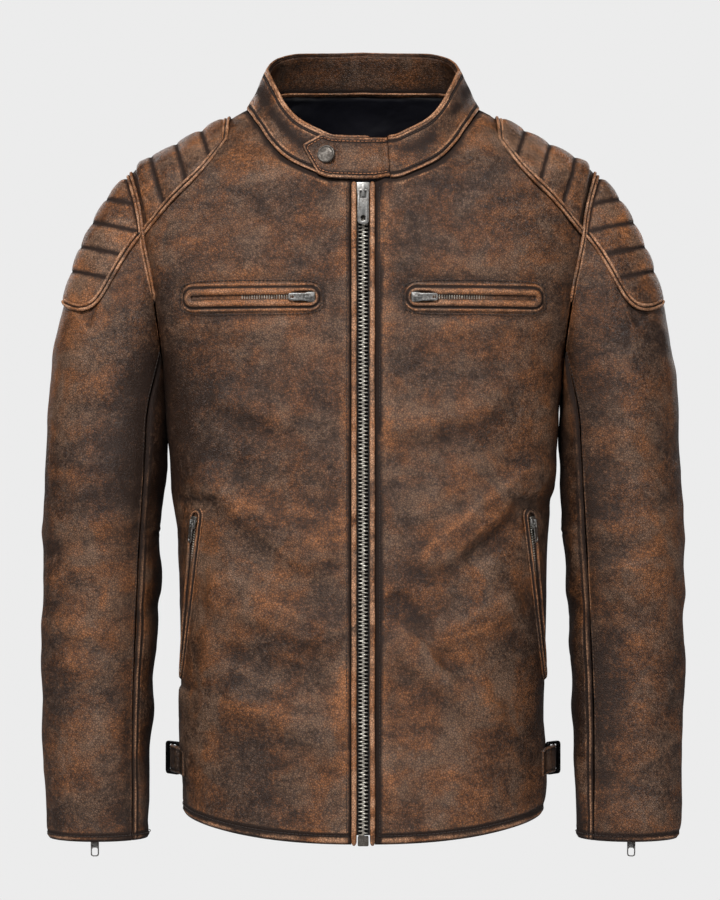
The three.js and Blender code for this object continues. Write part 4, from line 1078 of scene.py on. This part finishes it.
# Painted shade along a line 5 mm above the facing's lower edge.
painted_shade = 0.9 * bell(far["bottom"] - 5, 1.2) + 0.5 * bell(far["bottom"] - 5, 5)
placed("collar_facing_leather_lined",
    shell("collar_facing", inner_face - n * h[..., None] * 0.6, inside - n * 2.7, {"rub": rub, "painted_shade": painted_shade}),
       FACING_LEATHER, ROOT, ["collar_facing"])


def collar_line(up, lift, first=None, last=None):
    turns = collar_turns[first:last]
    line = collar_at(np.where(turns > 180, turns - 360, turns), up)
    near = collar_at(np.where(turns > 180, turns - 360, turns), up + 0.02)
    out = unit(np.cross(np.gradient(line, axis=0), near - line))
    out = np.where((np.sum(out * (line - from_neck(line)), -1) < 0)[:, None], -out, out)
    return thin(line + out * lift, out, 1.6)


rim, rim_out = collar_line(1.0, -1.2)
foot, foot_out = collar_line(0.012, 0.2)
edge = Gathered()
edge.add(*roll_mesh("rim", rim, unit(rim_out + [0, 0, 1.4]), 1.6, 1.2, seed=13, ruche=0.05))
edge.add(*roll_mesh("foot", foot, foot_out, 0.9, 0.65, seed=17, ruche=0.05))
seam, seam_out = collar_line(0.05, -4.4)
edge.add(*roll_mesh("seam", seam, -seam_out, 1.0, 0.8, seed=19, ruche=0.12))
edge.piece("collar_rolled_edges", EDGE_LEATHER, "edge_leather")
for up in (0.875, 0.115):
    line, out = collar_line(up, 0.15, 3, -3)
    stitches.append((line, out))

# The tab continues the left end of the collar over the right end.
ROOT_X, TIP_X, LIFT = 23.6, -60, 4.2
xs = np.concatenate([np.linspace(ROOT_X, TIP_X + 20, 46), np.linspace(TIP_X + 20, TIP_X + 0.6, 20)[1:]])
X, R = np.meshgrid(xs, np.linspace(0, 1, 30))
round_up = lambda up: np.sqrt((2 * up - 1) ** 2 + 0.004)
reach = np.where(X > TIP_X + 20, X,
    TIP_X + 20 - 20 * (1 - np.clip(round_up(R), 0, 1)) * (TIP_X + 20 - X) / 20)


def tab_at(x, up):
    low = np.where(x > 10, lerp(-0.02, 0.03, smooth((x - 10) / 13)), -0.02)
    p = collar_at(collar_angle(x), lerp(low, 0.985, up))
    p[..., 1] -= LIFT * smooth((ROOT_X - x) / 12)
    return p


tab = tab_at(reach, R)
far = lengths(tab)
rim_near = np.minimum(np.minimum(far["bottom"], far["top"]), far["end"])
n = facing(tab, from_neck(tab))
h = 0.35 * creased(tab, 121) + 0.35 * noise(tab, (12, 12, 8), 123) - 1.2 * np.clip(1 - rim_near / 2.0, 0,
    1) ** 2 - 0.45 * bell(rim_near - 4.5, 0.9)
rub = np.clip(bell(rim_near - 1.6, 1.5) * (0.85 + 0.4 * noise(tab, 12, 125)) + 0.5 * np.clip(h, 0, 1), 0,
    1.2)
# Painted shade in the stitched groove 4.5 mm in from the rim.
painted_shade = 0.85 * bell(rim_near - 4.5, 1.0) + 0.3 * bell(rim_near - 4.5, 4)
placed("collar_tab_stitched",
    shell("collar_tab", tab + n * h[..., None], tab - n * 2.0, {"rub": rub, "painted_shade": painted_shade}),
                   LEATHER, "collar_tab", ["collar_tab"])
lower = tab_at(np.linspace(20, TIP_X + 21, 30), np.full(30, 0.11))
upper = tab_at(np.linspace(20, TIP_X + 21, 30), np.full(30, 0.89))
point_in = tab_at(np.array([TIP_X + 6.5]), np.array([0.5]))
loop = np.concatenate([lower, point_in, upper[::-1]])
out = np.broadcast_to(unit(np.array([-0.12, -0.95, 0.27])), loop.shape)
tab_line, tab_out = thin(loop + out * 0.3, out, 1.5)
along_paths("collar_tab_stitches", [(tab_line, tab_out)], STITCH, 3.3, BRIGHT_THREAD,
    REPEAT, "collar_tab")

# The press stud's cap: a domed button with a raised rim.
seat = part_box("snap_cap")
seat = (np.array(seat[0]) + np.array(seat[1])) / 2 / MM
out = unit(np.array([-33 / 105, (-96 + 13) / 83, math.sin(math.radians(16))]))
up = unit(np.array([0, 0, 1.0]) - out * out[2])
right = np.cross(up, out)
profile = ((0, 1.5), (3.2, 1.5), (5.4, 1.35), (6.1, 1.2), (6.5, 1.9), (7.1, 2.25), (7.7, 1.9), (8.1, 1.0),
    (8.1, -0.9), (7.4, -1.3), (0, -1.3))
turns = np.linspace(0, 2 * math.pi, 64, endpoint=False)
rings = [seat + out * z + r * (np.cos(turns)[:, None] * right + np.sin(turns)[:, None] * up) for r,
    z in profile[1:-1]]
vertices = np.concatenate([[seat + out * 1.5], *rings, [seat - out * 1.3]])
faces = [(0, 1 + a, 1 + (a + 1) % 64) for a in range(64)]
for j in range(len(rings) - 1):
    faces += [(1 + j * 64 + a, 1 + (j + 1) * 64 + a, 1 + (j + 1) * 64 + (a + 1) % 64,
        1 + j * 64 + (a + 1) % 64) for a in range(64)]
base = 1 + (len(rings) - 1) * 64
faces += [(len(vertices) - 1, base + (a + 1) % 64, base + a) for a in range(64)]
mesh = mesh_of("snap_cap_domed", vertices, faces)
form = bmesh.new()
form.from_mesh(mesh)
bmesh.ops.recalc_face_normals(form, faces=form.faces)
form.to_mesh(mesh)
form.free()
placed("snap_cap_domed", mesh, AGED_METAL, "collar_tab", ["snap_cap"])

# ---------------------------------------------------------------- front zip

SLOPE = 0.0507
down = unit(np.array([0, -SLOPE, -1.0]))
zip_top = np.array([0, -98 - (NECK_FRONT + 66) * SLOPE, -66.0])
zip_out = unit(np.array([0, -1, SLOPE]))
ZIP_LENGTH = (-66 + 642) / -down[2]
run = np.linspace(0, ZIP_LENGTH, 300)
for hand, sign in SIDES:
    line = zip_top + down * (run + (1.7 if sign > 0 else 0))[:, None]
    line = line[run + 1.7 < ZIP_LENGTH]
    along_paths(f"zip_teeth_{hand}_cut", [(line - zip_out * 4.4, zip_out)],
        tooth_item(-sign, 4.3, 1.15, 1.66, 2.6), 3.4, TEETH, REPEAT,
                ROOT, [f"zip_teeth_{hand}"])
    edge_run = np.linspace(-1, ZIP_LENGTH + 9, 380)
    wander = 0.35 * noise(point(edge_run, sign * 9, 0), 38, 131)
    line = zip_top + down * edge_run[:, None] + np.array([1, 0, 0]) * (sign * 8.1 + wander)[:,
        None] - zip_out * 0.9
    edge = Gathered()
    edge.add(*roll_mesh("piping", line, np.broadcast_to(zip_out, line.shape), 2.35, 1.8, seed=141 + sign,
        ruche=0.05, sides=14))
    edge.piece(f"zip_edge_{hand}_folded", EDGE_LEATHER, "edge_leather", ROOT, [f"zip_edge_{hand}"])
    X, D = np.meshgrid(np.linspace(0.3, 19.4, 16), np.linspace(-1, ZIP_LENGTH, 150))
    tape = zip_top + down * D[..., None] + np.array([sign, 0, 0]) * X[...,
        None] + zip_out * (0.15 * noise(point(X, sign, D), 20, 133) - 4.7)[..., None]
    placed(f"zip_tape_{hand}_woven", shell("tape", tape, tape - zip_out * 0.7, {"rub": 0 * X}), TAPE,
        ROOT, [f"zip_tape_{hand}"])
    inset = np.linspace(0.02, 0.985, 200)
    for offset in (4.2,):
        a = angle_of_x(FRONT_EDGE + offset, row_z(0, inset))
        line = body_at(a, row_z(a, inset))
        n = np.broadcast_to(zip_out, line.shape)
        line, n = thin(line, n, 3)
        stitches.append(((line + n * 0.25) * [sign, 1, 1], n))

# ---------------------------------------------------------------- pockets

CHEST_Z = -168
chest_x = (38.0, 161.0)
fit = np.array([[x, body_y(x, CHEST_Z, -1)] for x in (chest_x[0], sum(chest_x) / 2, chest_x[1])])
solved = np.linalg.solve(np.column_stack([2 * fit, np.ones(3)]), (fit ** 2).sum(1))
arc_centre, arc_radius = solved[:2], math.sqrt(solved[2] + solved[0] ** 2 + solved[1] ** 2)
arc_turn = lambda x: np.arcsin((x - arc_centre[0]) / arc_radius)


def on_arc(x, out, z):
    t = arc_turn(x)
    return point(arc_centre[0] + (arc_radius + out) * np.sin(t),
        arc_centre[1] - (arc_radius + out) * np.cos(t), z)


def lips(p, across, end_distance, half, mouth, valley, centre, sign, name, node, seed, base=0.55):
    """A pocket's two rolled lips in a stitched frame: one sheet with a sunken channel under the chain,
    darkened with painted shade.
    """
    n = facing(p, centre(p))
    t = np.hypot(across, np.clip(valley + 0.7 - end_distance, 0, None))
    within = (t > mouth) & (t < valley)
    crown = np.sqrt(np.clip(np.sin(math.pi * np.clip((t - mouth) / (valley - mouth), 0, 1)), 0, 1)) * within
    ridge = bell(t - (valley + half) / 2 - 0.4, 0.8)
    h = base + 2.1 * crown + 0.7 * ridge
    h = np.where(t < mouth, -1.7, h)
    h = lerp(0.35, h, smooth(end_distance / 2.0))
    seen = p * [sign, 1, 1]
    h = h + 0.12 * noise(seen, 5, seed) + 0.2 * noise(seen, (14, 14, 6), seed + 1)
    rub = np.clip(crown ** 2 * (0.85 + 0.5 * noise(seen, 15, seed + 2)) + 0.85 * ridge, 0, 1.2)
    # Painted shade in the outer valley and in the channel under the chain.
    painted_shade = np.clip(bell(t - valley - 0.2, 1.15) + 1.0 * (t < mouth + 0.4), 0, 1)
    mirror = np.array([sign, 1, 1])
    piece = placed(name, shell(name, (p + n * h[..., None]) * mirror,
        (p + n * (np.minimum(h - 0.6, 0.1) - 0.3)[..., None]) * mirror,
                               {"rub": rub, "painted_shade": painted_shade}), WELT_LEATHER, ROOT, [node])
    return piece


xs = np.linspace(chest_x[0], chest_x[1], 90)
vs = np.linspace(-1, 1, 61)
X, R = np.meshgrid(xs, vs)
end_distance = np.minimum(X - chest_x[0], chest_x[1] - X)
half_here = 13 * np.sqrt(np.clip(1 - (np.clip(9 - end_distance, 0, None) / 9) ** 2 * 0.75, 0.02, 1))
chest = point(X, body_y(X, CHEST_Z + R * half_here, -1), CHEST_Z + R * half_here)
for hand, sign in SIDES:
    lips(chest, R * half_here, end_distance, 13, lerp(4.7, 1.7, smooth((X - 56) / 12)), 8.8, from_body,
        sign, f"chest_pocket_lips_{hand}", f"chest_pocket_welt_{hand}", 151)
    line = on_arc(np.linspace(chest_x[0] + 5, chest_x[1] - 5, 60), -1.5, CHEST_Z)
    n = unit(line - np.array([arc_centre[0], arc_centre[1], CHEST_Z]))
    mirror = np.array([sign, 1, 1])
    small = [tooth_item(side, 2.7, 0.6, 1.0, 1.8) for side in (1, -1)]
    both = small[0][0] + small[1][0], small[0][1] + [tuple(i + len(small[0][0]) for i in f)
        for f in small[1][1]]
    along_paths(f"chest_zip_{hand}_teeth", [(line * mirror, n * mirror)], both, 2.2, TEETH,
        REPEAT, ROOT, [f"chest_zip_{hand}"])
    turns = np.linspace(0, 2 * math.pi, 120)
    ox = 99.5 + np.sign(np.cos(turns)) * np.abs(np.cos(turns)) ** 0.35 * 64.2
    oz = CHEST_Z + np.sign(np.sin(turns)) * np.abs(np.sin(turns)) ** 0.45 * 15.2
    frame_line = point(ox, body_y(ox, oz, -1), oz)
    n = unit(frame_line - point(arc_centre[0], arc_centre[1], oz))
    stitches.append(((frame_line + n * 0.5) * mirror, n * mirror))

side_top = np.array([149, body_y(149.0, -361.0, -1), -361.0])
side_low = np.array([164.4, body_y(164.4, -508.0, -1), -508.0])
side_reach = np.linalg.norm(side_low - side_top)
side_down = (side_low - side_top) / side_reach
side_out = unit(np.array([0.88, -0.47, 0]) - side_down * np.dot([0.88, -0.47, 0], side_down))
W, D = np.meshgrid(np.linspace(-10, 10, 44), np.linspace(-5, side_reach + 5, 110))
share = D / side_reach
z = lerp(-361.0, -508.0, share)
end_distance = np.minimum(D + 5, side_reach + 5 - D)
W = W * np.sqrt(np.clip(1 - (np.clip(8 - end_distance, 0, None) / 8) ** 2 * 0.8, 0.02, 1))
side_grid = body_at(angle_of_x(lerp(149, 164.4, share), z) + W / 2.1, z)
for hand, sign in SIDES:
    lips(side_grid, W, end_distance, 10, lerp(4.7, 3.4, smooth((D - 18) / 10)), 7.6, from_body, sign,
        f"side_pocket_lips_{hand}", f"side_pocket_welt_{hand}", 161, 0.7)
    mirror = np.array([sign, 1, 1])
    line = side_top + side_down * np.linspace(3, side_reach - 3, 60)[:, None] + side_out * 0.5
    along_paths(f"side_zip_{hand}_teeth",
        [(line * mirror, np.broadcast_to(side_out * mirror, line.shape))], both, 2.2, TEETH,
            REPEAT,
                ROOT, [f"side_zip_{hand}"])

# Cuff zips up the back seams.
for hand, sign in SIDES:
    low, high = sleeve_at(BACK_SEAM, 2.0) * [sign, 1, 1], sleeve_at(BACK_SEAM, 1.66) * [sign, 1, 1]
    run = np.linalg.norm(high - low)
    up = (high - low) / run
    out = unit(np.array([0, 1, 0]) - up * up[1])
    line = low + up * np.linspace(1.5, run - 1, 50)[:, None] + out * 0.9
    along_paths(f"cuff_zip_{hand}_teeth", [(line, np.broadcast_to(out, line.shape))], both, 2.2, TEETH,
        REPEAT, ROOT, [f"cuff_zip_{hand}"])

for name, node, body in [("main", "zip_slider", "main_slider"), ("main", "zip_pull", "main_pull")] + [
        (place, f"{place}_{thing}_{hand}", f"{place}_{thing}_{hand}")
            for place in ("chest", "side", "cuff") for thing in ("slider", "pull")
        for hand, _ in SIDES]:
    refined(node, NICKEL, body, 0.3 if name == "main" else 0.18)
refined("zip_box", AGED_METAL, ROOT, 0.5)
bpy.data.objects["snap_stud"].data.materials.clear()
bpy.data.objects["snap_stud"].data.materials.append(NICKEL)

# ---------------------------------------------------------------- waist straps and buckles

STRAP_Z, FRAME_ANGLE = -585, 88
anchor = [body_at(np.array(a), np.array(float(STRAP_Z)))
    + [2.2 * math.sin(math.radians(a)), -1.4 * math.cos(math.radians(a)), 0] for a in (73, 76, 79)]
hold = body_at(np.array(FRAME_ANGLE), np.array(float(STRAP_Z)))
anchor += [hold + [x, y, 0] for x, y in ((4.2, -23), (6.6, -17.5), (9.6, -11.5), (10.2, -7.0), (7.6, -6.2))]
anchor, _ = resampled(np.array(anchor), 0.8)
for _ in range(8):
    anchor[1:-1] = (anchor[:-2] + 2 * anchor[1:-1] + anchor[2:]) / 4
leather_out = unit(np.cross(np.gradient(anchor, axis=0), [0, 0, -1.0]))
leather_out = np.where((np.sum(leather_out * [1, -1, 0], -1) < 0)[:, None], -leather_out, leather_out)


def strap(name, p, n, lift, thickness, sign, node, seed):
    far = lengths(p)
    rim_near = np.minimum(np.minimum(far["start"], far["end"]), np.minimum(far["bottom"], far["top"]))
    h = lift + 0.25 * creased(p, seed) - 1.1 * np.clip(1 - rim_near / 1.8, 0,
        1) ** 2 - 0.35 * bell(rim_near - 3.0, 0.8)
    mirror = np.array([sign, 1, 1])
    # Painted shade in the groove 3 mm in from the rim; the rim itself is rubbed wear.
    placed(name, shell(name, (p + n * h[..., None]) * mirror, (p + n * (lift - thickness)) * mirror,
                       {"rub": 1.1 * bell(rim_near - 0.9, 1.0), "painted_shade": 0.6 * bell(rim_near - 3.0, 0.9)}),
                           DARK_LEATHER, ROOT, [node])


for hand, sign in SIDES:
    A, R = np.meshgrid(np.linspace(94, 135, 80), np.linspace(-12, 12, 18))
    p = body_at(A, STRAP_Z + R)
    strap(f"waist_strap_{hand}_stitched", p, facing(p, from_body(p)), 3.3, 2.9, sign,
        f"waist_strap_{hand}", 171)
    across = np.linspace(-12, 12, 18)[:, None]
    slant = smooth((anchor[:, 0] - hold[0] + 6) / 12)[None]
    p = np.stack([np.broadcast_to(anchor[None, :, 0], (18, len(anchor))),
        np.broadcast_to(anchor[None, :, 1], (18, len(anchor))),
                  STRAP_Z + across * lerp(1, 1.03, slant) - 3.0 * (1 - slant)], -1)
    strap(f"strap_anchor_{hand}_stitched", p, leather_out[None], 1.1, 2.2, sign, f"strap_anchor_{hand}", 173)
    refined(f"buckle_frame_{hand}", BLACK_METAL, f"buckle_{hand}", 0.7)

# ---------------------------------------------------------------- stitching and what stays as it is

for hand, sign in SIDES:
    for turn in (FRONT_SEAM - 4.2, BACK_SEAM + 5.0 - 360):
        line, n = normals_along(lambda t, a: sleeve_at(t, a), np.full(140, turn),
            np.linspace(0.1, 1.985, 140), from_sleeve)
        line, n = thin(line, n, 3)
        stitches.append(((line + n * 0.3) * [sign, 1, 1], n * [sign, 1, 1]))
    t = np.linspace(-80, 280, 150)
    line, n = normals_along(lambda t, a: sleeve_at(t, a), t, np.full(150, 1.9864), from_sleeve)
    stitches.append(((line + n * 0.3) * [sign, 1, 1], n * [sign, 1, 1]))
hem_turns = np.linspace(float(angle_of_x(FRONT_EDGE, HEM_FRONT)) + 1, 180, 200)
line = body_at(hem_turns, hem_z(hem_turns) + 7.5)
n = unit(line - from_body(line))
for sign in (1, -1):
    stitches.append(((line + n * 0.3) * [sign, 1, 1], n * [sign, 1, 1]))
along_paths("seam_stitches", stitches, STITCH, 3.4, THREAD, REPEAT)

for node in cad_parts:
    thing = bpy.data.objects.get(node)
    if thing and "bag" in node:
        thing.data.materials.clear()
        thing.data.materials.append(SATIN)
